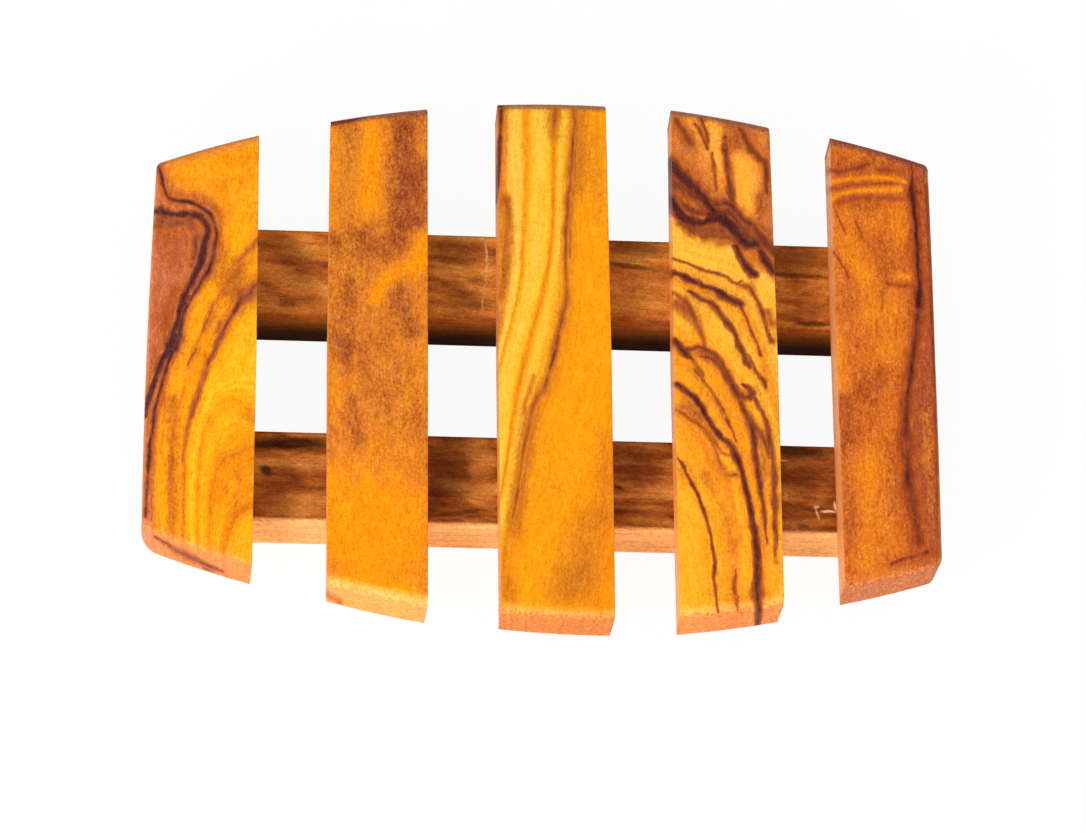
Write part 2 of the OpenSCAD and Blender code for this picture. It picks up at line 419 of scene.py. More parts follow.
leftEndSlat = {  # a hooked double vein over a red-brown heart, arches low on the right
    "name": "leftEndSlat",
    "node": "left_end_slat", "left": -60.1, "width": 16.8, "outerSide": -1,
    "backCorner": 0.7, "frontCorner": 2.5, "rim": 1.8, "arris": 0.12, "undercut": 0,
    "leftMore": (0, 0, 0), "rightMore": (-0.45, -0.2, -0.25), "backMore": (0.35, 0),
    "frontMore": (-0.15, 0.35),
    "fineCount": 7, "fine": 0.095, "fibre": 0.068, "speck": 0.116, "mottle": 0.088, "cloud": 0.22,
    "grain": 0.2, "wander": 0.12,
    "fray": 0.3, "patchy": 0.3, "core": (0.32, 0.85), "glow": 0.45, "fleck": 0.25, "pores": 0.42,
    "hue": 0.4945, "shade": 0.985,
    "warmColour": "#D8781A", "deepColour": "#98481E", "goldColour": "#FFB60C", "haloColour": "#A4582E",
    "veinColour": "#482025",
    # the wall, rim and back tints are partly painted light: a lit wall, a highlight on the front rim, shade
    # on the back end
    "wallTintAndPaintedLight": "#F0A05C", "wallShare": 0.45, "rimTintAndPaintedHighlight": "#F09A48", "rimShare": 0.2,
    "backTintAndPaintedShade": "#C07C50", "backShare": 0.35, "frontColour": "#C87440", "frontShare": 0.7,
    "growth": [
        (0.35, [(-57.3, 13.5), (-57.7, 9.5)]),
        (0.5, [(-54.1, 17), (-55.6, 18.5)]),
        (0.5, [(-58.3, 4.5), (-58.9, 0.5)]),
        (1, [(-59, 22.5), (-58.1, 21.7), (-56.9, 21.1), (-55.5, 21.4), (-54.1, 21.4), (-53, 20.7),
            (-52, 19.7), (-51.4, 18.3), (-51.2, 16.5), (-51.4, 14.7), (-52.1, 12.7), (-53.9, 9.1),
            (-54.7, 6.9), (-56.5, -1.5), (-58.1, -5.7), (-58.8, -8.1), (-59.7, -13.5)]),
        (1.6, [(-58.6, 29.7), (-58.4, 27.5), (-57.9, 25.5), (-57.1, 24.1), (-55.9, 23.4), (-54.5, 23.6),
            (-53, 23.3), (-51.7, 22.5), (-50.6, 21.3), (-49.9, 19.8), (-49.6, 18), (-49.7, 16.1),
            (-50.1, 14.3), (-53.1, 8.3), (-54, 6.1), (-55.3, -0.5), (-56.9, -5.5), (-58.2, -11.5),
            (-58.6, -14.5), (-58.8, -18.5), (-58.8, -22.5), (-58.4, -31.5)]),
        (1.9, [(-57.1, 28.5), (-55.1, 26), (-51.6, 25.5), (-48.7, 22.5)]),
        (2.1, [(-52.1, 30.5), (-46.1, 27.5), (-44.1, 31.5)]),
        (2.4, [(-46.3, 20.5), (-47.1, 17)]),
        (3, [(-43.5, 17.1), (-47.5, 11.9), (-48.9, 9.3), (-53.2, -2.5), (-54.1, -5.5), (-55.5, -12.5),
            (-55.9, -16.5), (-55.9, -26.5), (-55.5, -31.5)]),
        (4, [(-43.5, 10.1), (-46.3, 7.3), (-47.6, 5.4), (-48.6, 3.4), (-52.4, -7.9), (-53.2, -10.9),
            (-53.8, -14.5), (-54.1, -18.5), (-53.8, -33.5)]),
        (5, [(-43.5, -1.5), (-45.6, -3.7), (-47.9, -5.3), (-49.7, -7.1), (-51.1, -10), (-52.2, -13.5),
            (-52.8, -17.5), (-53, -22.5), (-52.8, -33.5)]),
        (6, [(-43.5, -11.7), (-45.5, -9.2), (-46.9, -8.6), (-48.3, -9.1), (-49.5, -10.3), (-50.5, -12.1),
            (-51.3, -14.5), (-51.8, -17.5), (-52.1, -26.5), (-52, -33.5)]),
        (6.7, [(-43.5, -14), (-45.3, -12.3), (-46.9, -11.8), (-48.5, -13.1), (-49.7, -15.3),
            (-50.5, -18.1), (-51, -21.5), (-51.2, -26.5), (-51.2, -34.5)]),
        (7.5, [(-43.5, -15.9), (-46.7, -17.4), (-48.1, -18.5), (-49.1, -20.1), (-49.8, -22.5),
            (-50.2, -25.5), (-50.3, -34.5)]),
        (8.2, [(-43.5, -20.5), (-45.6, -21.5), (-47.1, -23.1), (-48.2, -25.5), (-48.9, -28.5),
            (-49.3, -34.5)]),
        (9, [(-43.5, -25.8), (-45.1, -26.3), (-46.3, -27.5), (-47.1, -29.5), (-47.7, -32), (-48.1, -35.5)]),
        (10, [(-43.5, -30.5), (-45.1, -32.5), (-45.9, -36)]),
    ],
    "bands": [
        (0, "#BA643C"), (0.5, "#BE6A40"), (0.78, "#B46040"), (1, "#AC5C40"), (1.3, "#D0783C"),
        (1.5, "#C06A38"), (1.7, "#C8702C"), (1.85, "#F09018"), (2.2, "#FAA20C"), (2.7, "#FBA80C"),
        (2.9, "#F29410"), (3, "#E08018"), (3.12, "#F2940C"), (3.6, "#F9A40C"), (3.84, "#EC8A0E"),
        (4, "#D8780E"), (4.14, "#EE8E0A"), (4.5, "#FCB00E"), (5.1, "#FDBE1A"), (5.75, "#FBB010"),
        (5.95, "#F49404"), (6.15, "#F49606"), (6.6, "#FCB20E"), (7.25, "#F49A08"), (7.5, "#DC7E0C"),
        (7.75, "#F08E06"), (8.4, "#FAA40A"), (9, "#E07C0A"), (9.4, "#FBAE0E"),
    ],
    "strokes": [
        (0.42, 1, [(-55.9, -9), (-55.9, -20), (-55.8, -31)]),
        (-0.3, 0.7, [(-57.6, -12), (-57.9, -20), (-58.1, -29)]),
        (0.4, 2.4, [(-56.4, 8.5), (-57.5, 3)]),
        (0.35, 2.6, [(-57.4, 18), (-56, 13)]),
        (0.2, 3, [(-46, 11), (-49, 4)]),
        (0.35, 1.1, [(-57, 24.9), (-54, 24.7), (-51.5, 23.8), (-49.4, 21.8)]),
        (0.3, 1.5, [(-48.5, 16), (-49.6, 11)]),
        (0.25, 1.2, [(-45, 23.5), (-43.6, 21)]),
        (-0.25, 3, [(-54.5, 27), (-49, 29)]),
        (-0.25, 2, [(-46.5, 19.5), (-45.5, 16.5)]),
        (-0.35, 3, [(-46.6, -3.5), (-48, -6)]),
        (0.3, 1.6, [(-43.9, -13.4), (-45, -11.4)]),
        (0.25, 2, [(-45, -21), (-46.5, -25)]),
        (-0.25, 1.5, [(-49.6, -27), (-49.6, -35)]),
        (0.25, 1, [(-59, -12), (-59.5, -24)]),
        (0.3, 1.6, [(-46, 12), (-47.5, 8.5)]),
    ],
    "veins": [
        (0.85, [(-59, 29.4, 0.3), (-58.5, 28.2, 0.35), (-57.8, 25, 0.3), (-57.3, 24, 0.3),
            (-56.4, 23.6, 0.3), (-53.8, 23.3, 0.45), (-52.6, 22.8, 0.45), (-51.5, 22, 0.4),
            (-50.6, 21, 0.4), (-50, 19.6, 0.35), (-49.8, 18, 0.35), (-50.1, 16.2, 0.5),
            (-50.4, 13.4, 0.5), (-51, 12, 0.4), (-54.2, 6, 0.28), (-54.7, 4.5, 0.28), (-55.3, 0.5, 0.6),
            (-55.8, -1, 0.5)]),
        (1, [(-59.4, 21.7, 0.7), (-58, 21.4, 0.75), (-56.5, 21.2, 0.6), (-55, 21.2, 0.5),
            (-53.8, 21.4, 0.55), (-52.6, 21, 0.55), (-51.6, 20, 0.6), (-51.1, 18.8, 0.55),
            (-51.3, 17.4, 0.55), (-51.7, 16, 0.6), (-52.1, 13.2, 0.65), (-53.4, 10.2, 0.5),
            (-54.7, 7, 0.5), (-55.5, 3.5, 0.5), (-56.3, 0.3, 0.8), (-57, -1.6, 0.6), (-57.8, -3.4, 0.5),
            (-59.2, -7.5, 0.45), (-59.7, -9.5, 0.4), (-60, -12, 0.35)]),
        (0.45, [(-57, 22.9, 0.3), (-54.8, 22.5, 0.3)]),
        (0.6, [(-58.8, 20, 1), (-56.6, 19.6, 1), (-54.2, 19.9, 1), (-52.8, 18.4, 0.8), (-52.8, 16, 0.7),
            (-53.6, 12.6, 0.5)]),
        (0.8, [(-56, -1.2, 0.4), (-56.8, -3.4, 0.3), (-57.5, -6, 0.3), (-58.6, -11, 0.35),
            (-59.2, -17, 0.33), (-59.7, -28, 0.25)]),
        (0.4, [(-55.2, -0.2, 0.25), (-55.8, -2.6, 0.2)]),
        (0.4, [(-43.6, 17.4, 0.4), (-45, 15.6, 0.45), (-46.5, 13.6, 0.35)]),
        (0.3, [(-47.3, 12.3, 0.3), (-48.6, 9.6, 0.35), (-49.4, 7.6, 0.2)]),
        (0.62, [(-43.4, 10.3, 0.5), (-44.4, 9.1, 0.8), (-45.4, 7.8, 0.8), (-46.3, 6.8, 0.5)]),
        (0.7, [(-46.3, 6.8, 0.4), (-48.2, 3.2, 0.3), (-48.9, 1.2, 0.35), (-49.6, -0.3, 0.35),
            (-50.8, -3.5, 0.25)]),
        (0.5, [(-50.8, -3.5, 0.25), (-52.5, -9.5, 0.4), (-53.2, -12, 0.3)]),
        (0.35, [(-53.2, -12, 0.3), (-53.9, -15, 0.25), (-54.2, -19, 0.2)]),
        (0.45, [(-49.9, 7, 0.15), (-50.5, 5, 0.18), (-51.6, 2, 0.15)]),
        (0.4, [(-48.9, 3.6, 0.3), (-49.6, 1.9, 0.2)]),
        (0.5, [(-52.6, -0.8, 0.15), (-53.8, -3.6, 0.15)]),
        (0.25, [(-57, -9, 0.2), (-57.3, -13, 0.2), (-57.5, -18, 0.15)]),
        (0.62, [(-58.3, -31.3, 0.25), (-57, -32.1, 0.35), (-55.2, -33.4, 0.5), (-53.8, -34.2, 0.7),
            (-51.9, -35.2, 0.55), (-48.5, -36.6, 0.25)]),
        (0.5, [(-51.3, -36.1, 0.35), (-50.1, -36.5, 0.25)]),
    ],
}

leftSlat = {  # mottled orange-brown with no clear veins
    "name": "leftSlat",
    "node": "left_slat", "left": -32.9, "width": 15.2, "outerSide": 0,
    "rim": 1.8, "arris": 0.12, "undercut": 0.28,
    "leftMore": (0.3, 0.1, 0.3), "rightMore": (0.1, 0.08, 0), "backMore": (0.2, 0),
    "frontMore": (0.6, 0.15),
    "fineCount": 5, "fine": 0.061, "fibre": 0.088, "speck": 0.136, "mottle": 0.075, "cloud": 0.4,
    "grain": 0.44, "wander": 0.6,
    "fray": 0.3, "patchy": 0.3, "core": (0.32, 0.85), "glow": 0.3, "fleck": 0.55, "pores": 0.5,
    "hue": 0.496, "shade": 0.965,
    "warmColour": "#CC7224", "deepColour": "#904422", "goldColour": "#FF9A00", "haloColour": "#A04A20",
    "veinColour": "#582A20",
    # the wall, rim and back tints are partly painted light: a lit wall, a highlight on the front rim, shade
    # on the back end
    "wallTintAndPaintedLight": "#FFBE78", "wallShare": 0.7, "rimTintAndPaintedHighlight": "#FFB850", "rimShare": 0.4,
    "backTintAndPaintedShade": "#9C5E44", "backShare": 0.8, "frontColour": "#E08430", "frontShare": 0.6,
    "growth": [
        (0, [(-33, 37.5), (-33, 19.5), (-33.3, 4.5), (-34.6, -8.5)]),
        (1.2, [(-27.7, 38.5), (-27.3, 21.5), (-28.5, 14.5), (-30.5, 7.5)]),
        (2, [(-24.1, 37.5), (-24.3, 31.5), (-25.7, 21.5), (-27.1, 15.5), (-31.1, 3.5), (-32.7, -2.5)]),
        (3.5, [(-17.7, 38.5), (-17.9, 27.5), (-18.8, 19.5), (-20.6, 14.5), (-26.6, 2.5), (-29.1, -4.5),
            (-31.1, -12.5), (-32.1, -20.5)]),
        (4.5, [(-17.7, 13.5), (-23.1, -0.5), (-25.6, -8.5), (-27.1, -16.5), (-27.6, -25.5), (-27.6, -38.5)]),
        (5.5, [(-17.7, 1.5), (-20.1, -6.5), (-21.6, -16.5), (-22.1, -28.5), (-22.1, -38.5)]),
        (6.2, [(-17.7, -10.5), (-17.9, -40.5)]),
    ],
    "bands": [
        (0, "#DE8622"), (1.2, "#E08820"), (2, "#DC8222"), (3.5, "#D87C24"), (4.5, "#DC8024"),
        (5.5, "#E0861E"), (6.2, "#DC7E20"),
    ],
    "strokes": [
        (-0.95, 1.9, [(-26.2, 39), (-26.2, 31), (-26.6, 24)]),
        (-0.35, 0.9, [(-32.3, 36), (-32.3, 20)]),
        (0.35, 1.4, [(-29.3, 36), (-29.6, 31)]),
        (0.85, 2.4, [(-21, 37), (-21.4, 30), (-21.2, 22)]),
        (0.4, 1.2, [(-18.5, 31), (-18.7, 21)]),
        (-0.25, 1, [(-18.8, 36), (-18.8, 32)]),
        (0.6, 2.8, [(-31, 17.5), (-22, 17)]),
        (-1.1, 1.4, [(-17.9, 18.5), (-19.3, 15.8)]),
        (-0.95, 1.5, [(-18.6, 14.4), (-23.5, 12.2), (-25.4, 8.5)]),
        (0.55, 2.2, [(-29.8, 11), (-31, 3), (-29, -2)]),
        (0.55, 1.8, [(-22, 9), (-20, 3)]),
        (0.25, 3, [(-24, 0), (-24, -9)]),
        (-0.55, 0.8, [(-31.2, -3), (-31.4, -12)]),
        (-0.45, 0.6, [(-28.7, -1.5), (-28.9, -7)]),
        (0.45, 1.2, [(-28.9, -8.5), (-28.4, -15)]),
        (-1.25, 8, [(-25.3, -28), (-25.3, -44)]),
        (-0.4, 3.5, [(-31, -22), (-30.5, -32)]),
        (0.3, 1.2, [(-19, -10.5), (-18.6, -14)]),
        (0.25, 1.5, [(-30.5, -35.5), (-20, -37)]),
    ],
    "veins": [
        (0.45, [(-18.7, 26, 0.2), (-18.2, 23.5, 0.25), (-18.6, 21.5, 0.2)]),
        (0.35, [(-27.2, -3.4, 0.5), (-26.6, -4.6, 0.4)]),
        (0.3, [(-22.2, -2, 0.15), (-22.3, -4, 0.15)]),
        (0.75, [(-33, 37.3, 0.35), (-31.5, 37.5, 0.4), (-27, 38.7, 0.2)]),
        (0.3, [(-32.9, -39.6, 0.5), (-31, -41, 0.5)]),
    ],
}

middleSlat = {  # straight pale and orange bands that bend to the left
    "name": "middleSlat",
    "node": "middle_slat", "left": -6.9, "width": 16.8, "outerSide": 0,
    "rim": 1.8, "arris": 0.12, "undercut": 0.28,
    "leftMore": (0.2, 0, 0), "rightMore": (0.42, 0.38, 0), "backMore": (0, 0), "frontMore": (0.45, 0),
    "fineCount": 6, "fine": 0.068, "fibre": 0.061, "speck": 0.102, "mottle": 0.054, "cloud": 0.12,
    "grain": 0.18, "wander": 0.1,
    "fray": 0.3, "patchy": 0.3, "core": (0.32, 0.85), "glow": 0.5, "fleck": 0.2, "pores": 0.38,
    "hue": 0.4965, "shade": 0.99,
    "warmColour": "#E08A1C", "deepColour": "#A85418", "goldColour": "#FFA800", "haloColour": "#C06A1E",
    "veinColour": "#5A2420",
    # the wall, rim and back tints are partly painted light: a lit wall, a highlight on the front rim, shade
    # on the back end
    "wallTintAndPaintedLight": "#F4A868", "wallShare": 0.6, "rimTintAndPaintedHighlight": "#F49636", "rimShare": 0.35,
    "backTintAndPaintedShade": "#AA6A4C", "backShare": 0.75, "frontColour": "#C06828", "frontShare": 0.85,
    "growth": [
        (0.3, [(-6.2, 42.5), (-6.6, 30.5), (-7.5, 19.5)]),
        (0.72, [(-5.8, 24.5), (-5.6, 19.5), (-5.9, 13.5), (-6.4, 8.5)]),
        (1.2, [(-4.6, 42.5), (-4.7, 33.5), (-4.5, 26.5), (-4, 20.5), (-4.2, 14.5), (-4.9, 8.5),
            (-7.1, -1.5)]),
        (2, [(-2.5, 42.5), (-2.6, 26.5), (-3.3, 14.5), (-4, 9.5), (-5.1, 4.5), (-7.3, -3.5)]),
        (3, [(-0.4, 42.5), (-0.7, 26.5), (-1, 19.5), (-1.6, 13.5), (-3.6, 3.5), (-4.9, -0.5),
            (-6.1, -5.5), (-7.1, -11.5)]),
        (4, [(1.8, 42.5), (1.7, 27.5), (1.4, 20.5), (0.8, 14.5), (-0.2, 9.5), (-2.9, -0.5), (-4, -5.5),
            (-6.5, -22.5)]),
        (5, [(3.4, 42.5), (2.1, 17.5), (1.3, 11.5), (0.1, 5.5), (-3.7, -10.5), (-6.7, -27.5)]),
        (6, [(4.9, 42.5), (4.7, 36.5), (3.7, 20.5), (3.3, 9.5), (1.5, -0.5), (-2.3, -12), (-3.3, -16.5),
            (-6, -30.5), (-6.5, -35.5)]),
        (6.7, [(5.9, 42.5), (4.7, 25.5), (4.1, 8.5), (3.5, 3.5), (1.2, -5.5), (-1.6, -13.5),
            (-4.3, -29.5), (-4.8, -35.5)]),
        (8, [(9.7, 41.5), (9.5, 4.5), (6.9, -8.5), (2.9, -20.5), (-0.1, -32.5), (-1.6, -40.5)]),
        (10, [(10.9, -10.5), (9.5, -22.5), (6.5, -41.5)]),
    ],
    "bands": [
        (0, "#B8682C"), (0.25, "#C87830"), (0.5, "#E08A24"), (0.74, "#F0922A"), (0.92, "#F9B43A"),
        (1.2, "#FCC64A"), (1.65, "#FCC040"), (1.84, "#F2A018"), (2.05, "#F09608"), (2.25, "#F6A818"),
        (2.55, "#FCC030"), (3.1, "#FDC640"), (3.6, "#FBBC24"), (3.85, "#F09410"), (4.05, "#E4860C"),
        (4.25, "#F09A14"), (4.7, "#FCBE30"), (5.1, "#FCC038"), (5.5, "#F8AC1C"), (5.82, "#EE940C"),
        (5.96, "#D8800E"), (6.3, "#E88C0C"), (6.58, "#EC8E0C"), (6.84, "#F09408"), (7.2, "#F79C06"),
        (8.2, "#FAA004"), (10, "#F49004"),
    ],
    "strokes": [
        (0.8, 0.9, [(-5.6, 25.4), (-5.3, 21), (-5.6, 16), (-6.6, 9)]),
        (-0.3, 0.5, [(-6, 30), (-4.6, 27.5)]),
        (0.4, 1.6, [(-2.3, -10.5), (-3.6, -20), (-4.6, -29)]),
        (0.3, 3.6, [(7, -28), (4, -37)]),
        (0.14, 5, [(3, -22), (4, -34)]),
        (0.3, 1.6, [(9, -14), (9, -26)]),
        (0.25, 1.2, [(8.4, 36), (8.4, 28), (8.2, 22)]),
        (0.35, 1.2, [(1.8, 41), (1.8, 36.5)]),
        (0.35, 1.6, [(6.6, 40), (6, 34), (5.4, 28)]),
        (0.35, 1.2, [(-6, -37), (-5.2, -39.6)]),
        (-0.35, 1, [(-0.2, 28), (-0.6, 22)]),
        (0.2, 2.6, [(6, -36), (2, -39)]),
    ],
    "veins": [
        (1, [(-6.3, 41.8, 0.35), (-6.6, 34, 0.38), (-7.3, 25, 0.3)]),
        (0.55, [(1.9, 41, 0.5), (1.8, 36, 0.2)]),
        (0.6, [(5, 41, 0.45), (4.95, 38, 0.35), (4.75, 35, 0.4), (3.85, 25.5, 0.45), (3.65, 22, 0.45),
            (3.5, 18, 0.3), (3.45, 13, 0.3), (3.5, 10, 0.4), (3.2, 7.8, 0.5), (2.6, 5.5, 0.5),
            (2.2, 3, 0.5), (0.3, -4.8, 0.5), (-0.2, -6, 0.6), (-1, -7.2, 0.5), (-1.8, -9, 0.4),
            (-2.4, -11.5, 0.4), (-3.1, -15, 0.35), (-4.2, -23, 0.25), (-5, -27, 0.2)]),
        (0.75, [(3.1, 7.4, 0.2), (2.1, 2, 0.2), (0, -5.6, 0.25)]),
        (0.55, [(5.65, 41, 0.12), (5.5, 37, 0.12), (4.2, 21, 0.12), (4.1, 16, 0.1)]),
        (0.4, [(6.3, 40.5, 0.1), (5.8, 33, 0.12), (5.1, 27, 0.1)]),
        (0.4, [(-1.6, -3.8, 0.3), (-2.1, -5.2, 0.35), (-3.2, -10, 0.25)]),
    ],
}

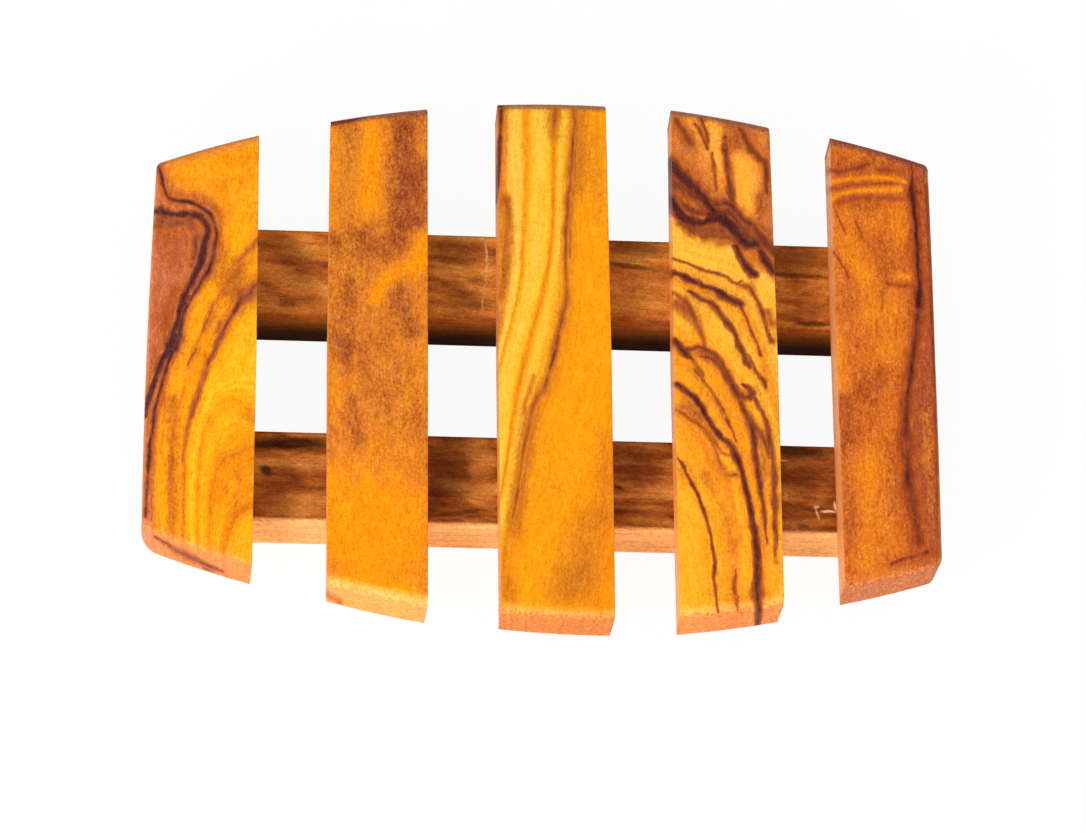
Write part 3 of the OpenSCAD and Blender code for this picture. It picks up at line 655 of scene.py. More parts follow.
rightSlat = {  # dark veins swirling across gold
    "name": "rightSlat",
    "node": "right_slat", "left": 19.7, "width": 15.6, "outerSide": 0,
    "rim": 1.8, "arris": 0.12, "undercut": 0.32,
    "leftMore": (0.35, 0.15, 0.35), "rightMore": (0.42, 0.4, 0), "backMore": (0.3, 0),
    "frontMore": (-0.3, -0.2),
    "fineCount": 5, "fine": 0.088, "fibre": 0.068, "speck": 0.116, "mottle": 0.075, "cloud": 0.22,
    "grain": 0.22, "wander": 0.15,
    "fray": 0.38, "patchy": 0.32, "core": (0.36, 0.92), "glow": 0.36, "fleck": 0.2, "pores": 0.34,
    "hue": 0.4915, "shade": 1,
    "warmColour": "#D47A20", "deepColour": "#A25A28", "goldColour": "#FFB92A", "haloColour": "#84421F",
    "veinColour": "#481E1C",
    # the wall, rim and back tints are partly painted light: a lit wall, a highlight on the front rim, shade
    # on the back end
    "wallTintAndPaintedLight": "#FFB468", "wallShare": 0.65, "rimTintAndPaintedHighlight": "#FFB050", "rimShare": 0.35,
    "backTintAndPaintedShade": "#A4684E", "backShare": 0.8, "frontColour": "#D07430", "frontShare": 0.8,
    "growth": [
        (0, [(19.7, -27.5), (21.4, -32.5), (22.2, -40.5)]),
        (1, [(20.1, -16), (23.4, -23.5), (24.9, -28.5), (25.7, -41.5)]),
        (2, [(20.1, -9), (21.9, -10.7), (23.9, -13.5), (25.5, -16.5), (26.9, -20), (27.7, -24.5),
            (28.1, -29.5), (28.4, -41.5)]),
        (3, [(19.7, -4.3), (21.3, -5), (22.7, -6.3), (23.9, -7.8), (27, -13.3), (28.5, -14.3),
            (29.4, -16.3), (30.1, -18.5), (31.1, -24.5), (31.6, -30.5), (31.3, -36.5), (31.7, -42.5)]),
        (3.6, [(20.1, -0.1), (21.9, -0.9), (23.4, -2.3), (24.9, -4.2), (26.2, -6.3), (29.8, -13.3),
            (30.7, -16.5), (32, -24.5)]),
        (4.3, [(19.9, 2.1), (23.9, 1.7), (25.5, 0.5), (26.9, -1.3), (28.1, -3.4), (30.1, -7.5),
            (30.8, -9.5), (31.4, -12.5), (32.7, -22.5), (33, -28.5), (33.1, -40.5)]),
        (5, [(20.1, 6.1), (24.7, 3.9), (26.5, 2.3), (29.5, -2.5), (30.7, -5.1), (31.8, -8.1),
            (33.4, -13.5), (34.5, -19.5), (34.9, -23.5), (35.1, -28.5), (35.1, -36.5)]),
        (5.5, [(20.2, 10.4), (21.9, 9.9), (23.9, 9), (25.5, 7.8), (26.9, 6.2), (29.5, 2.1), (32.5, -4.1),
            (33.3, -6.5), (34.1, -9.5), (35.3, -16.5)]),
        (6.3, [(20.1, 13.7), (26.9, 11.2), (29.9, 9.2), (31.1, 7.7), (32.1, 5.9), (33.9, 0.9),
            (35.3, -4.9)]),
        (7, [(19.9, 16.4), (27.9, 13.7), (29.4, 13), (30.5, 12.1), (31.5, 10.7), (32.5, 8.5), (34.5, 3.5),
            (35.3, 0.9)]),
        (7.9, [(19.9, 19.1), (22.9, 17.7), (28.5, 16.3), (30.3, 15.1), (31.9, 13.5), (33.7, 11.5),
            (35.2, 8.9)]),
        (8.7, [(19.7, 23.5), (21.3, 21.7), (23.3, 20.1), (25.4, 19.4), (27.5, 19.7), (29.1, 19.1),
            (31.3, 16.1), (32.5, 15.1), (34.1, 14.3), (35.3, 13.1)]),
        (9.8, [(19.7, 26.9), (20.9, 24.7), (22.4, 23.1), (24.4, 22.3), (26.9, 22.7), (28.4, 22.3),
            (30.9, 19.7), (32.4, 19.1), (33.5, 17.9), (35.2, 15.1)]),
        (11, [(19.7, 32.5), (21.5, 31.3), (24.9, 27.3), (26.3, 26.3), (28.3, 25.9), (29.7, 24.9),
            (32.5, 21.9), (35.3, 17.9)]),
        (12, [(19.7, 37.5), (21.5, 35.9), (23.3, 33.9), (24.7, 31.5), (26.1, 29.7), (27.3, 29.1)]),
        (12.8, [(21.7, 40.1), (25.1, 34.1), (26.3, 32.7)]),
        (13.4, [(25.5, 40.5), (26.5, 36.5), (27.1, 32.5)]),
        (12.2, [(28.3, 40.5), (28.8, 27.3)]),
        (13.3, [(31.1, 33.5), (31.4, 29.5), (31.2, 26.5)]),
        (12.2, [(29.9, 35.3), (32.3, 34.9), (33.7, 32.1), (33.9, 28.5), (33.3, 25.1), (31.9, 24.1)]),
        (11.3, [(29.9, 38.1), (32.5, 37.1), (34.5, 33.5), (35.1, 28.5), (34.7, 23.5)]),
    ],
    "bands": [
        (0, "#FBB41E"), (0.84, "#FAAA18"), (1.14, "#FAAC18"), (1.8, "#F59C1A"), (2.05, "#EC8E1C"),
        (2.4, "#FAAC1A"), (2.8, "#F49C16"), (3.2, "#FAA616"), (3.52, "#F69E16"), (3.72, "#FAA614"),
        (4.1, "#F09418"), (4.55, "#F8A016"), (5.2, "#FBB228"), (5.66, "#FBB62E"), (6.1, "#F09A1A"),
        (6.52, "#F8B02C"), (7.14, "#FCBE34"), (8.45, "#FDC040"), (9, "#E08C22"), (9.6, "#C0682C"),
        (11, "#C87030"), (11.8, "#E08632"), (12.5, "#F09634"), (13.3, "#FAAE38"), (14, "#FBB23A"),
    ],
    "strokes": [
        (0.55, 1.6, [(20.6, 39.4), (22, 37.6), (22.8, 35.6)]),
        (0.2, 2.4, [(20.4, 35), (22.6, 32), (25, 28.6)]),
        (0.45, 0.7, [(24.3, 39.6), (25.4, 36.4)]),
        (0.75, 1.6, [(29, 39.4), (30.8, 38), (30.2, 36.4)]),
        (0.45, 0.9, [(28.4, 36), (28.7, 31), (29, 27)]),
        (0.7, 1, [(33.4, 27), (33.2, 23.4), (34.6, 20.6)]),
        (0.5, 0.8, [(34.9, 32), (34.8, 28)]),
        (0.6, 1.4, [(20.4, 28.8), (22.6, 26), (24.6, 24.4)]),
        (0.55, 1.1, [(31.6, 22.4), (33.4, 20.4), (35, 19.4)]),
        (0.55, 0.8, [(32.4, 12.4), (33, 9.6), (34, 6.4)]),
        (0.6, 0.9, [(21.2, 8.4), (22.6, 6.6), (23.4, 4.6)]),
        (0.5, 0.8, [(24, 1.2), (25.2, -0.4)]),
        (-0.6, 1.6, [(30.6, 33), (31.4, 29), (31.5, 25)]),
        (-0.5, 0.8, [(27, 38), (27.4, 33), (27.8, 28)]),
        (-0.35, 0.8, [(33.4, 39.4), (34.2, 37)]),
        (0.35, 1, [(34.5, 30), (34, 25)]),
        (-0.6, 1.8, [(20.6, 20.5), (23, 18.2), (27, 17)]),
        (-0.55, 1.3, [(29, 16), (29.8, 14)]),
        (-0.6, 1.2, [(33.6, 12.5), (34, 10)]),
        (0.6, 1, [(20.5, 8.6), (22, 6.6)]),
        (-0.45, 1.3, [(21, 5.4), (22.6, 3)]),
        (-0.5, 1.6, [(26, 4.5), (27, 1.5)]),
        (0.3, 1, [(23, 10.6), (26.5, 10)]),
        (-0.4, 1.2, [(29.4, -1), (30, -3)]),
        (0.35, 1, [(21, -8), (23, -9.6)]),
        (-0.25, 2.5, [(21.5, -23), (22.5, -34)]),
        (0.35, 0.8, [(24, -19), (25.5, -22), (27.2, -26), (28.2, -31)]),
        (0.35, 0.5, [(26, -16), (27.4, -18.6), (29, -19)]),
        (0.25, 0.6, [(22, -2), (24.6, -5), (27, -9)]),
        (-0.3, 1.4, [(29, -26), (29.6, -36)]),
        (-0.3, 0.7, [(33.3, -33), (33.6, -39)]),
        (0.4, 0.8, [(31.9, -11.2), (33.1, -13.6), (33.3, -18.5)]),
        (0.4, 0.8, [(22.4, 0.9), (24.4, 1), (26.4, -0.4), (28, -3.4)]),
        (0.3, 0.8, [(21.5, -7), (23.4, -9.4), (25, -12.6)]),
    ],
    "veins": [
        (0.55, [(20.9, 39.6, 0.52), (22.5, 36.8, 0.7), (23.1, 35.8, 0.52)]),
        (0.6, [(23.8, 39.2, 0.21), (24.5, 37.8, 0.21), (25.6, 35, 0.21)]),
        (0.6, [(24.6, 40.2, 0.21), (25.1, 38.9, 0.31), (25.5, 37.4, 0.31), (25.7, 36.2, 0.21)]),
        (0.5, [(26.2, 34.2, 0.21), (26.5, 31.8, 0.26), (26.8, 28, 0.21)]),
        (0.6, [(28.2, 37, 0.31), (28.6, 32, 0.47), (29.2, 26.2, 0.42)]),
        (0.6, [(19.7, 30.6, 1.1), (22, 29.2, 1.2), (24, 27.2, 1.3), (26, 25, 1.6), (28.4, 23, 2),
            (30.4, 21, 1.6), (32.4, 20.2, 1.2), (35.3, 18.8, 1)]),
        (0.5, [(28.3, 26, 0.6), (30, 24.4, 0.9), (31.6, 22, 0.9), (33.4, 20.6, 0.8)]),
        (0.42, [(19.8, 28, 0.9), (21.2, 26, 0.7), (22.6, 24.2, 0.63), (24, 23.4, 0.7)]),
        (0.55, [(21.4, 22.4, 0.7), (23.2, 21.4, 1), (25, 21.2, 1.3), (27.6, 21.1, 1.2)]),
        (0.6, [(30.6, 38.8, 0.31), (31.6, 36.9, 0.52), (32.3, 35.2, 0.61), (33.3, 34.1, 0.63),
            (34.3, 33.3, 0.52), (34.7, 31.6, 0.42), (34.6, 27.8, 0.26)]),
        (1, [(19.7, 32.6, 0.8), (21.2, 30.6, 0.9), (22.6, 29.2, 1), (24, 27.7, 0.7), (25.2, 26, 0.61),
            (26.5, 24.4, 0.9), (28, 23.2, 1), (29.2, 21.8, 0.9), (30.4, 20.2, 0.85), (31.4, 19.3, 0.85),
            (32.7, 19.2, 0.7)]),
        (0.62, [(19.6, 29.6, 1.5), (21.8, 28.2, 1.2), (23.6, 26.6, 0.8)]),
        (1.1, [(19.7, 26.4, 0.63), (20.4, 24.9, 0.63), (21.6, 23.3, 0.57), (23.2, 22.4, 0.63),
            (24.8, 22.5, 0.57), (26, 23.2, 0.63), (27.6, 23.4, 0.61)]),
        (0.55, [(21.5, 25.4, 0.52), (23, 24.6, 0.52), (24.6, 23.9, 0.63)]),
        (0.75, [(26.6, 25.6, 0.52), (28, 26, 0.63), (29.1, 25.7, 0.63), (31, 23.1, 0.52),
            (32.4, 22.4, 0.47), (33, 21.2, 0.52), (33.9, 20, 0.63)]),
        (1.1, [(25.6, 23.8, 0.4), (27.2, 23.4, 0.6), (28.6, 22.2, 0.7), (29.8, 20.8, 0.6),
            (31, 19.6, 0.5), (32.6, 19, 0.3)]),
        (0.62, [(28.6, 24.6, 0.8), (30, 22.8, 0.7), (31, 21.4, 0.5)]),
        (0.5, [(22.6, 21.6, 0.52), (24.5, 20.4, 0.7), (27, 20.6, 1.2), (29, 20.2, 0.9)]),
        (0.55, [(33, 19.9, 0.7), (34.4, 19.1, 0.61), (35.4, 17.8, 0.63)]),
        (0.85, [(29.6, 18.7, 0.37), (31, 15.6, 0.47), (31.9, 14.4, 0.61), (32.5, 14, 0.47)]),
        (0.98, [(33.4, 18.2, 0.42), (33.9, 16.9, 0.52), (34.6, 15.8, 0.52), (35.3, 14.6, 0.37)]),
        (0.5, [(19.9, 16.4, 0.21), (25.2, 14.4, 0.23), (26.8, 14, 0.21), (28.2, 13.4, 0.23),
            (29, 12.8, 0.26), (29.9, 12.4, 0.26), (30.4, 12.9, 0.21)]),
        (0.97, [(19.9, 14, 0.42), (21.5, 13.4, 0.43), (23, 12.6, 0.42), (26.2, 11.4, 0.37),
            (28.8, 9.7, 0.52), (30.1, 9.2, 0.42)]),
        (0.55, [(30, 9, 0.31), (30.6, 7.8, 0.21), (33.1, 0.8, 0.21)]),
        (0.45, [(30.3, 12.2, 0.42), (31.6, 12, 0.42), (32, 10.8, 0.31)]),
        (0.72, [(22.3, 11, 0.21), (24, 9.9, 0.31), (25.5, 9.2, 0.37), (26.6, 8.2, 0.42),
            (27.5, 6.6, 0.43), (28.4, 5.4, 0.42), (29.3, 3.9, 0.37), (29.9, 2, 0.37), (30.7, 0, 0.42),
            (31.4, -1.2, 0.31)]),
        (0.45, [(19.9, 10.7, 0.26), (21.3, 9.6, 0.42), (22.4, 8, 0.52), (23.3, 6, 0.57), (24, 4, 0.42),
            (24.8, 0.6, 0.21)]),
        (0.4, [(20.4, 9, 0.7), (21.8, 7.4, 0.7)]),
        (0.88, [(20, 2.9, 0.35), (20.7, 1.7, 0.47), (21.6, 0.6, 0.45), (22.6, -0.3, 0.15)]),
        (0.62, [(21.2, 1.2, 0.25), (22.3, 1.5, 0.35), (23.6, 1.8, 0.3), (25, 1.3, 0.35),
            (26.2, 0.5, 0.42), (27.1, -0.9, 0.47), (28.6, -4.3, 0.52), (29.4, -5.6, 0.55),
            (30.4, -6.3, 0.6), (31.5, -6, 0.3)]),
        (0.6, [(23.8, 0.3, 0.15), (25.3, 0.2, 0.35), (26.4, -0.6, 0.4), (27.1, -2, 0.35),
            (27.8, -3.6, 0.15)]),
        (0.45, [(22.6, -0.4, 0.3), (23.4, -1.5, 0.4), (24.2, -2.9, 0.2)]),
        (0.78, [(30.1, -4.1, 0.15), (31.1, -4.7, 0.42), (31.7, -5.6, 0.45), (31.3, -6.4, 0.3)]),
        (0.62, [(31.7, -5.9, 0.3), (32.4, -7, 0.3), (33.6, -10.1, 0.3), (34.4, -14.4, 0.35),
            (34.65, -17.2, 0.35), (34.7, -20.5, 0.36), (34.6, -31, 0.24), (34.55, -33.4, 0.1)]),
        (0.66, [(29.3, -5.8, 0.4), (30.7, -9, 0.45), (31.3, -10.8, 0.5), (31.7, -13, 0.5),
            (31.9, -15.5, 0.47), (32.8, -23, 0.33), (33.4, -29.8, 0.1)]),
        (0.5, [(31.4, -10.4, 0.4), (32.6, -11.9, 0.5), (33.5, -13.6, 0.4), (34, -16, 0.2)]),
        (0.55, [(31, 0.9, 0.2), (32.8, -2.8, 0.31), (33.6, -3.7, 0.45), (33.9, -5, 0.15)]),
        (0.6, [(31.9, 11.8, 0.2), (32.5, 10.2, 0.26), (33.2, 8.8, 0.26), (33.8, 6.5, 0.26),
            (34.2, 4.5, 0.26), (34.8, 3.2, 0.37)]),
        (0.4, [(34.4, 8, 0.42), (34.9, 6, 0.63)]),
        (0.88, [(20.1, -4.3, 0.33), (21.4, -5.3, 0.42), (22.8, -6.6, 0.42), (23.9, -8.2, 0.35),
            (25.9, -11.8, 0.3), (26.9, -13, 0.35), (27.7, -13.5, 0.42), (28.5, -14.5, 0.4),
            (29.8, -18.4, 0.35), (30.9, -23.6, 0.35), (31.6, -28.8, 0.45), (31.75, -31.5, 0.5),
            (31.65, -37, 0.55), (31.95, -43, 0.4)]),
        (0.5, [(31, -36, 0.3), (30.9, -37.6, 0.4), (31.3, -38.6, 0.3)]),
        (0.52, [(22.8, -1.8, 0.12), (25.3, -5.1, 0.22), (26.4, -7.2, 0.26), (28.3, -11.4, 0.22),
            (29.1, -13.6, 0.1)]),
        (0.38, [(20.1, -8.7, 0.3), (22.2, -10, 0.35), (24.1, -11.4, 0.3), (25.4, -13.7, 0.25),
            (26.5, -17, 0.25), (27.6, -19, 0.33), (28.9, -18.9, 0.2)]),
        (0.34, [(24.9, -11.9, 0.2), (25.8, -13.7, 0.25), (26.8, -15.4, 0.25), (28, -15.8, 0.2)]),
        (0.66, [(20.1, -16.5, 0.15), (21, -18, 0.22), (23, -22.3, 0.22), (23.8, -24.5, 0.22),
            (24.5, -27, 0.22), (25.1, -30, 0.22), (25.4, -33, 0.22), (25.2, -35.5, 0.22),
            (25.7, -41, 0.12)]),
        (0.45, [(28.5, -34, 0.1), (28.3, -37, 0.35), (28.6, -40.5, 0.15)]),
    ],
}

rightEndSlat = {  # russet, with one dark line near the outer side
    "name": "rightEndSlat",
    "node": "right_end_slat", "left": 44.7, "width": 15.4, "outerSide": 1,
    "backCorner": 0.8, "frontCorner": 1.3, "rim": 1.8, "arris": 0.12, "undercut": 0.28,
    "leftMore": (0.3, 0.1, 0.05), "rightMore": (0.1, -0.05, 0.22), "backMore": (0.35, 0.6),
    "frontMore": (0.6, 0),
    "fineCount": 6, "fine": 0.068, "fibre": 0.075, "speck": 0.136, "mottle": 0.088, "cloud": 0.26,
    "grain": 0.42, "wander": 0.25,
    "fray": 0.3, "patchy": 0.3, "core": (0.32, 0.85), "glow": 0.4, "fleck": 0.3, "pores": 0.6,
    "hue": 0.4925, "shade": 0.945,
    "warmColour": "#C8661E", "deepColour": "#96481E", "goldColour": "#FFA00A", "haloColour": "#9A4A1E",
    "veinColour": "#441A14",
    # the wall, rim and back tints are partly painted light: a lit wall, a highlight on the front rim, shade
    # on the back end
    "wallTintAndPaintedLight": "#FFB870", "wallShare": 0.8, "rimTintAndPaintedHighlight": "#DC8438", "rimShare": 0.3,
    "backTintAndPaintedShade": "#8C503E", "backShare": 0.8, "frontColour": "#B4602C", "frontShare": 0.85,
    "growth": [
        (0, [(44.3, 37.5), (44.3, -38.5)]),
        (1.5, [(45.9, 26.5), (47.3, 20.5), (49.1, 14.5), (49.9, 7.5), (49.5, -0.5), (48.5, -10.5),
            (48.1, -22.5), (48.3, -36.5)]),
        (3, [(49.9, 26.5), (51.5, 21.5), (52.9, 14.5), (53.3, 7.5), (51.3, -10.5), (51.1, -22.5),
            (51.5, -36.5)]),
        (5, [(57.1, 35.5), (57, 30.5), (57.4, 26.5), (57.5, 19.5), (57.4, 13.5), (56.7, 2.5),
            (55.5, -5.5), (55, -10.5), (55, -15.5), (55.3, -20.5), (57.3, -35.5)]),
        (6.4, [(59.9, 33.5), (60.1, -0.5), (59.9, -12.5), (60.1, -32.5)]),
    ],
    "bands": [
        (0, "#F09034"), (0.4, "#DE7E24"), (1.3, "#D87622"), (1.8, "#E0801E"), (2.6, "#DA7A20"),
        (3.4, "#E0801E"), (4.2, "#DA7820"), (4.6, "#C66C22"), (5, "#A85828"), (5.4, "#AC5A2C"),
        (6.4, "#A85430"),
    ],
    "strokes": [
        (-1, 0.38, [(44.9, 30.1), (47.5, 30.7), (51, 31.1), (54.5, 30.9), (56.4, 30.4)]),
        (-1.1, 0.36, [(44.9, 27.2), (46.4, 28.1), (49, 28.7), (52, 29), (55.6, 29.1)]),
        (0.4, 2.4, [(45.4, 33.6), (49, 31.4)]),
        (0.2, 3, [(47, -26), (46, -34)]),
        (0.35, 1.4, [(51, 33.6), (56, 32.4)]),
        (0.3, 1.4, [(51.5, 26.2), (48, 26)]),
        (-0.45, 2, [(55.5, 25), (55.3, 22)]),
        (-0.5, 1.6, [(46, 24), (47.6, 18), (48.6, 15)]),
        (0.35, 2.2, [(53, 20), (53, 16)]),
        (-0.8, 0.8, [(55, 14.6), (56.6, 14.4)]),
        (-0.35, 1.6, [(49.8, 14), (50, 8)]),
        (0.3, 1.6, [(46.5, 10), (46.6, 4)]),
        (-0.4, 1.2, [(45.6, 3), (45.4, -4)]),
        (-0.25, 2.4, [(53, 10), (53.4, 2)]),
        (0.4, 2.2, [(51.6, -2), (50, -5)]),
        (-0.45, 2.2, [(48.6, -15), (48.8, -24), (47.8, -32)]),
        (0.25, 1.6, [(52, -14), (52.4, -24)]),
        (0.35, 1.2, [(52.6, -33), (56.8, -31)]),
        (0.35, 1.6, [(45.4, -6), (45.6, -16), (45.6, -30)]),
        (0.35, 0.9, [(45.2, -37.4), (46.8, -36.6)]),
        (-0.35, 1, [(58.3, -8), (58.5, -24)]),
        (0.42, 0.9, [(57.3, 31), (57.5, 22), (57.4, 12), (56.6, 2)]),
        (0.5, 1.3, [(55.9, -3), (55, -9), (54.8, -15), (55.1, -22), (56, -30)]),
        (0.26, 3, [(48.2, -3), (47.2, -13)]),
    ],
    "veins": [
        (0.9, [(57.4, 33.6, 0.12), (57.35, 31.5, 0.18), (57.1, 29.6, 0.3), (57.3, 28, 0.6),
            (57.4, 26.4, 0.38), (57.6, 24.5, 0.34), (57.9, 16, 0.34), (57.85, 12.5, 0.42),
            (57.6, 9.5, 0.5)]),
        (0.72, [(57.6, 9.5, 0.5), (56.1, -1.5, 0.6), (55.5, -4.8, 0.6)]),
        (0.6, [(55.5, -4.8, 0.7), (55.05, -9, 0.9), (54.9, -13, 1.1), (55.3, -21, 1), (55.9, -25, 0.8),
            (56.5, -29, 0.8)]),
        (0.6, [(57.6, 29, 0.5), (58.6, 28.6, 0.3)]),
        (0.62, [(57.3, 31.5, 0.4), (57.6, 27, 0.75), (57.9, 22, 0.6), (58, 15, 0.65), (57.7, 9.5, 0.8),
            (57, 4, 0.9), (56, -2, 0.8), (55.2, -7, 0.6)]),
        (0.4, [(59.4, 30, 0.4), (59.6, 20, 0.4), (59.7, 8, 0.4), (59.5, -14, 0.26), (59.3, -24, 0.16),
            (58.9, -33, 0.05)]),
        (0.4, [(58.1, 22, 0.15), (58.2, 12, 0.15)]),
        (0.55, [(44.7, 32.2, 0.5), (46, 31.8, 0.5), (47.6, 32.3, 0.5), (51, 33.4, 0.25)]),
        (0.4, [(44.7, 29, 0.5), (46.2, 29, 0.5), (48, 29.7, 0.35), (51, 30.1, 0.3), (55, 30.1, 0.3)]),
        (0.4, [(46, 26.8, 0.6), (48, 27.3, 0.5), (51, 27.7, 0.5), (55.5, 27.6, 0.5)]),
        (0.35, [(51, 32.3, 0.4), (55.6, 32.3, 0.5)]),
        (0.5, [(45.2, 25.6, 0.12), (46.6, 21.4, 0.12)]),
        (0.45, [(48.3, 23.6, 0.15), (49.6, 20, 0.12)]),
        (0.45, [(44.7, 18.4, 0.15), (46, 16.2, 0.2), (46.9, 14, 0.2)]),
        (0.4, [(53, 13.3, 0.4), (55, 12.9, 0.5), (57, 12.9, 0.5)]),
        (0.35, [(52.1, 12, 0.12), (52, 9, 0.12)]),
        (0.3, [(54.2, 7.4, 0.12), (54, 4, 0.12)]),
        (0.3, [(51, 7, 0.12), (50.9, 4.8, 0.12)]),
        (0.35, [(51.2, -1.6, 0.5), (51.4, -3.6, 0.5)]),
        (0.55, [(52, -32.6, 0.2), (54.5, -31.6, 0.35), (57.6, -30.6, 0.4)]),
    ],
}

for slat in (leftEndSlat, leftSlat, middleSlat, rightSlat, rightEndSlat):
    piece = slatMesh(slat)
    markFigure(piece, slat)
    piece.data.materials.append(oliveWood(slat))
    print(slat["name"], len(piece.data.polygons), "faces")


# The rails and pins, which keep their CAD meshes. Lengths are in mm and turns in degrees.

backRail = {
    "node": "back_rail", "front": 8.05, "pithY": 19.0,  # y of its front face, and of its rings' centre
    "shift": (0, 0, 0), "tilt": 5.0, "sawTurn": -50.0,  # of the grain, and turn of the saw marks
    # the front face's two colours are painted shade, darkening to near black at its foot
    "base": "#C87A32", "pale": "#E6A44A", "dark": "#7E4020", "faceTopPaintedShading": "#904A18", "faceLowPaintedShading": "#280D04",
    "spots": [  # x, y, half length, half width, turn, colour, share
        (-38, 18.5, 6, 2.5, -35, "#6E3A16", 0.5), (-36, 13, 4, 2, -30, "#6E3A16", 0.4),
        (-13, 20, 5, 2.6, 10, "#5A2C12", 0.55), (-11, 12, 4, 1.5, -15, "#643416", 0.4),
        (15, 21.5, 6, 1.6, -3, "#5A2A14", 0.6), (14, 18.4, 5, 0.5, -8, "#4A200F", 0.7),
        (12, 12, 4, 1, 4, "#C08434", 0.35), (40, 21, 5, 2.4, 0, "#5A2A14", 0.6),
        (40, 17.6, 6, 0.5, -2, "#48200F", 0.7), (43, 9.6, 3, 0.45, 2, "#3A1A0A", 0.7),
        (-8.1, 18.5, 0.22, 3.6, 1, "#D8A878", 0.8), (-8.5, 12.5, 0.2, 2.6, -4, "#D09C64", 0.6),  # glue
    ],
}
frontRail = {
    "node": "front_rail", "front": -25.35, "pithY": -23.0,
    "shift": (40, 9, 3), "tilt": 1.0, "sawTurn": 35.0,
    # the front face's two colours are painted light, a pale lit peach
    "base": "#A25C26", "pale": "#D89648", "dark": "#582810", "faceTopPaintedShading": "#FFB872", "faceLowPaintedShading": "#FFB06A",
    "spots": [
        # shade, knots and streaks
        (-38, -12.6, 8, 1.1, 3, "#2A1008", 0.9), (-41.5, -17, 1.2, 0.7, -35, "#2A1008", 0.85),
        (-36, -11, 4, 0.5, -3, "#C07A2C", 0.6), (-36, -23, 6, 2, 0, "#C08038", 0.5),
        (-14, -16.5, 6, 4.5, 60, "#5C2A12", 0.65), (-9, -16, 1.8, 5, 0, "#B87230", 0.5),
        (-13, -23.2, 5, 0.4, 9, "#5C2A10", 0.6), (14, -14, 6, 3.2, 0, "#5E2A14", 0.6),
        (12, -18.3, 0.9, 0.3, -25, "#3A180A", 0.8), (14, -19.6, 6, 0.35, 0, "#D89C54", 0.45),
        (14, -21.5, 6, 0.3, 1, "#D09048", 0.4), (39, -11.6, 6, 1.1, -3, "#2A1008", 0.85),
        (39, -15.5, 5, 2.6, 0, "#6A3018", 0.6), (40, -24, 1, 0.5, 0, "#5A3A3A", 0.6),
        # pale splinters
        (42.1, -20.8, 0.5, 0.26, 12, "#F2C698", 0.85), (42.3, -21.8, 0.17, 0.85, 22, "#F2C698", 0.85),
        (44, -21.3, 1.15, 0.2, 2, "#F2C698", 0.9), (45.05, -20.4, 0.17, 0.85, 4, "#F2C698", 0.85),
        (37.2, -13.1, 0.8, 0.22, -5, "#E8B078", 0.85), (37.5, -18.9, 0.3, 0.6, 0, "#E8B078", 0.7),
    ],
}


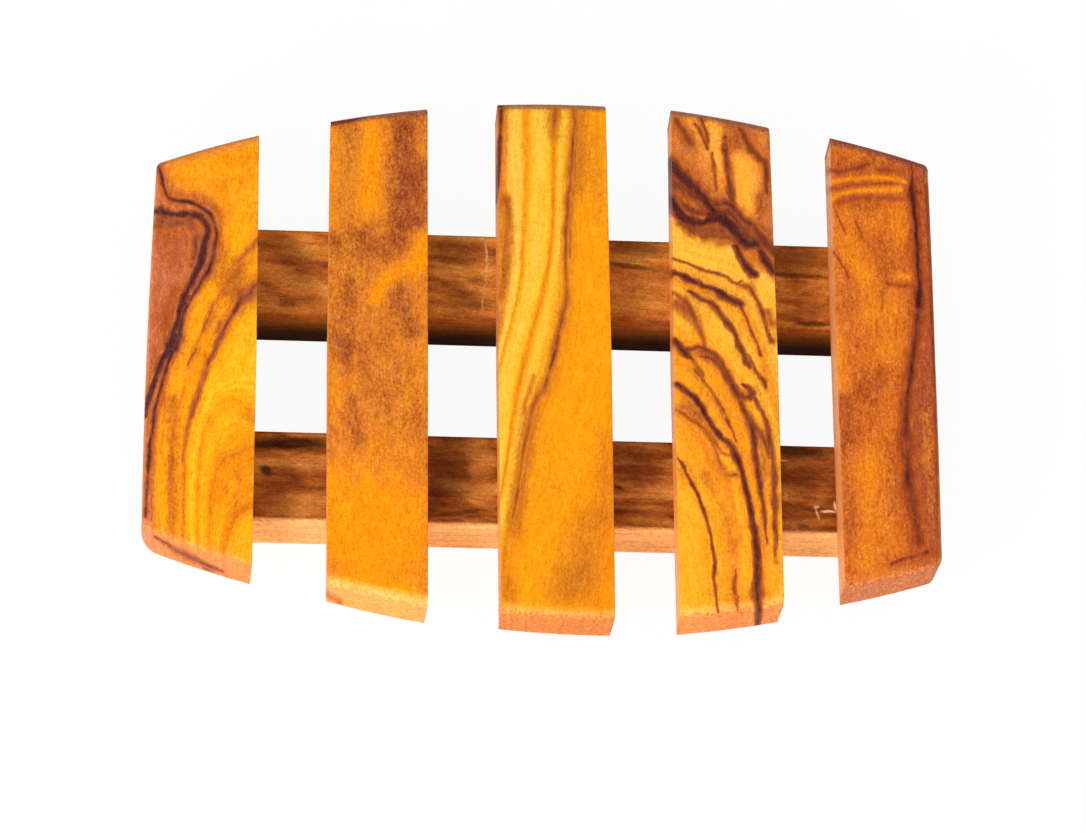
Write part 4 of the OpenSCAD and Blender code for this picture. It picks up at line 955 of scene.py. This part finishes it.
def railWood(rail):
    # rough sawn olive wood without oil: duller brown, saw marks and close straight lines, and no sheen.
    # The saw marks are finer on the real rails, so they are drawn as coarse as they need to show
    made, tree, place = newWood("rough sawn olive wood, " + rail["node"])
    spot = addNode(tree, "ShaderNodeSeparateXYZ", Vector=place)
    grain = addNode(tree, "ShaderNodeMapping", Vector=place, Location=rail["shift"],
                    Rotation=(0, 0, math.radians(rail["tilt"])))
    sawn = addNode(tree, "ShaderNodeMapping", Vector=place, Rotation=(0, 0, math.radians(rail["sawTurn"])))
    swings = {
        **grainPatterns(tree, grain, {
            "clouds": ((9.09, 2.94, 2.94), 5),
            "lines": ((16.7, 0.769, 0.769), 6),
            "marks": ((1.11, 0.25, 0.25), 3),
        }),
        **grainPatterns(tree, place, {"specks": ((0.278, 0.385, 0.385), 3)}),
        **grainPatterns(tree, sawn, {"sawMarks": ((2.5, 0.417, 1), 3)}),
    }
    base = tinted(tree, colour(rail["base"]), swings["clouds"], 0.0, 0.72, 0.9, rail["pale"])
    base = tinted(tree, base, swings["clouds"], 0.0, -0.64, 0.85, rail["dark"])
    # spots and streaks with wavy edges
    wave = 0.9  # mm; noise lies about 0.5, so half of it comes off again
    wavy = addNode(tree, "ShaderNodeTexNoise", Vector=place, Scale=0.5, Detail=3.0, Roughness=0.6)
    warped = addNode(tree, "ShaderNodeVectorMath", plusTimes, i0=wavy.outputs["Color"], i1=[wave] * 3,
                     i2=place)
    for x, y, halfLength, halfWidth, turn, tint, share in rail["spots"]:
        near = addNode(tree, "ShaderNodeMapping", {"vector_type": "TEXTURE"}, Vector=warped,
                       Location=(x + wave / 2, y + wave / 2, 0), Rotation=(0, 0, math.radians(turn)),
                       Scale=(halfLength, halfWidth, 1e6))
        far = addNode(tree, "ShaderNodeVectorMath", {"operation": "LENGTH"}, i0=near)
        base = tinted(tree, base, far, 1.4, 0.4, share, tint, curve="SMOOTHSTEP")
    # the sawn ends: growth rings 1.6 mm apart round a pith below the rail, and calmer than the rest
    ringStep, pithDepth = 1.6, 15
    pith = addNode(tree, "ShaderNodeMapping", Vector=place, Location=(0, -rail["pithY"], pithDepth))
    rings = addNode(tree, "ShaderNodeTexWave", {"wave_type": "RINGS", "rings_direction": "X"}, Vector=pith,
                    Scale=0.314 / ringStep, Distortion=1.6, Detail=3.0, Detail_Scale=2.0)
    rings = tinted(tree, colour(rail["base"]), rings.outputs["Fac"], 0.0, 1.0, 0.55, rail["dark"])
    outward = addNode(tree, "ShaderNodeMath", {"operation": "ABSOLUTE"}, i0=spot.outputs["X"])
    base = tinted(tree, base, outward, 58.15, 58.3, 0.92, rings)
    calm = addNode(tree, "ShaderNodeMapRange", Value=outward, From_Min=58.15, From_Max=58.3, To_Max=0.644)
    # the front face: painted shade on the back rail, dark and darker towards its foot, and painted light on
    # the front rail, a pale lit face
    face = tinted(tree, colour(rail["faceTopPaintedShading"]), spot.outputs["Z"], 8.7, 2.5, 1.0, rail["faceLowPaintedShading"],
                  curve="SMOOTHSTEP")
    base = tinted(tree, base, spot.outputs["Y"], rail["front"] + 0.9, rail["front"] + 0.4, 0.95, face)
    light = 1.0
    for name, reach in (("lines", 0.26), ("marks", 0.26), ("specks", 0.24), ("sawMarks", 0.14)):
        light = addNode(tree, "ShaderNodeMath", plusTimes, i0=swings[name], i1=reach, i2=light)
    calmed = addNode(tree, "ShaderNodeMix", {"data_type": "FLOAT"}, i0=calm, i2=light, i3=0.95)
    base = addNode(tree, "ShaderNodeHueSaturation", Color=base, Value=calmed)
    bump = addNode(tree, "ShaderNodeBump", Height=light, Strength=0.5, Distance=0.1 * mm)
    feed(tree, tree.nodes["Principled BSDF"], Base_Color=base, Normal=bump, Roughness=0.7, IOR=1.2,
         Specular_IOR_Level=0.08)
    return made


def pinSteel():
    # bright drawn steel: a small cold glint in each rail's underside
    made = bpy.data.materials.new("bright drawn steel")
    made.use_nodes = True
    feed(made.node_tree, made.node_tree.nodes["Principled BSDF"], Base_Color=colour("#B4B2AE"),
         Metallic=1.0, Roughness=0.35)
    return made


steel = pinSteel()
for node, finish in (("back_rail", railWood(backRail)), ("front_rail", railWood(frontRail)),
                     ("back_rail_pins", steel), ("front_rail_pins", steel)):
    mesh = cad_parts[node].data
    mesh.materials.clear()
    mesh.materials.append(finish)
print("rails and pins dressed")


# The floor, the light and the camera. Their sizes are in metres where no other unit is given.

def mattPaper():
    # matt white paper: plain white to the camera, while it still takes the dish's shadow
    made = bpy.data.materials.new("matt white paper")
    made.use_nodes = True
    tree = made.node_tree
    tree.nodes.clear()
    path = addNode(tree, "ShaderNodeLightPath")
    seen = 0.0
    for ray in ("Is Camera Ray", "Is Glossy Ray", "Is Transmission Ray"):
        seen = addNode(tree, "ShaderNodeMath", {"operation": "MAXIMUM"}, i0=path.outputs[ray], i1=seen)
    share = addNode(tree, "ShaderNodeMath", times, i0=seen, i1=0.94)
    tint = tinted(tree, colour("#C8C8C8"), seen, 0.0, 1.0, 1.0, "#FFFFFF")  # greyer where it lights the dish
    paper = addNode(tree, "ShaderNodeBsdfDiffuse", Color=tint)
    glow = addNode(tree, "ShaderNodeEmission", Color=colour("#FFFFFF"), Strength=1.0)
    mix = addNode(tree, "ShaderNodeMixShader", i0=share, i1=paper, i2=glow)
    addNode(tree, "ShaderNodeOutputMaterial", Surface=mix)
    return made


bm = bmesh.new()
bmesh.ops.create_grid(bm, x_segments=1, y_segments=1, size=2.0)
floor = bpy.data.objects.new("floor", bpy.data.meshes.new("floor"))
bm.to_mesh(floor.data)
bm.free()
floor.data.materials.append(mattPaper())
bpy.context.scene.collection.objects.link(floor)

world = bpy.data.worlds.new("studio")
world.use_nodes = True
feed(world.node_tree, world.node_tree.nodes["Background"], Color=colour("#FFFFFF"), Strength=0.6)
bpy.context.scene.world = world

lamps = {
    "frontSoftbox": {"place": (-0.55, -0.65, 0.6), "size": 0.5, "power": 8.9},
    "lowFill": {"place": (0.05, -0.9, 0.24), "size": 0.4, "power": 3.2},
}
for name, look in lamps.items():
    data = bpy.data.lights.new(name, "AREA")
    data.shape = "DISK"
    data.size = look["size"]
    data.energy = look["power"]
    lamp = bpy.data.objects.new(name, data)
    lamp.location = look["place"]
    lamp.rotation_euler = (-Vector(look["place"])).to_track_quat("-Z", "Y").to_euler()
    bpy.context.scene.collection.objects.link(lamp)
print("floor and lights placed")

view = {  # the photograph's
    "elevation": 67.38, "azimuth": -13.24, "roll": 13.84,  # degrees
    "distance": 796.8, "aim": (-0.25, -10.28, 17.0), "sensor": 36,  # mm
    "focal": 5289.1, "width": 1086,  # pixels
}
tip, turn, roll = (math.radians(view[key]) for key in ("elevation", "azimuth", "roll"))
back = Vector((math.sin(turn) * math.cos(tip), -math.cos(turn) * math.cos(tip), math.sin(tip)))
right = (-back).cross(Vector((0, 0, 1))).normalized()
up = right.cross(-back)
turnedRight = math.cos(roll) * right + math.sin(roll) * up
turnedUp = -math.sin(roll) * right + math.cos(roll) * up
place = Matrix.Translation((Vector(view["aim"]) + back * view["distance"]) * mm)
camera = bpy.data.objects.new("camera", bpy.data.cameras.new("camera"))
camera.data.sensor_width = view["sensor"]
camera.data.lens = view["focal"] / view["width"] * view["sensor"]
camera.data.clip_start, camera.data.clip_end = 0.01, 10
camera.matrix_world = place @ Matrix((turnedRight, turnedUp, back)).transposed().to_4x4()
bpy.context.scene.collection.objects.link(camera)
bpy.context.scene.camera = camera
bpy.context.scene.view_settings.view_transform = "Standard"
print("camera placed")
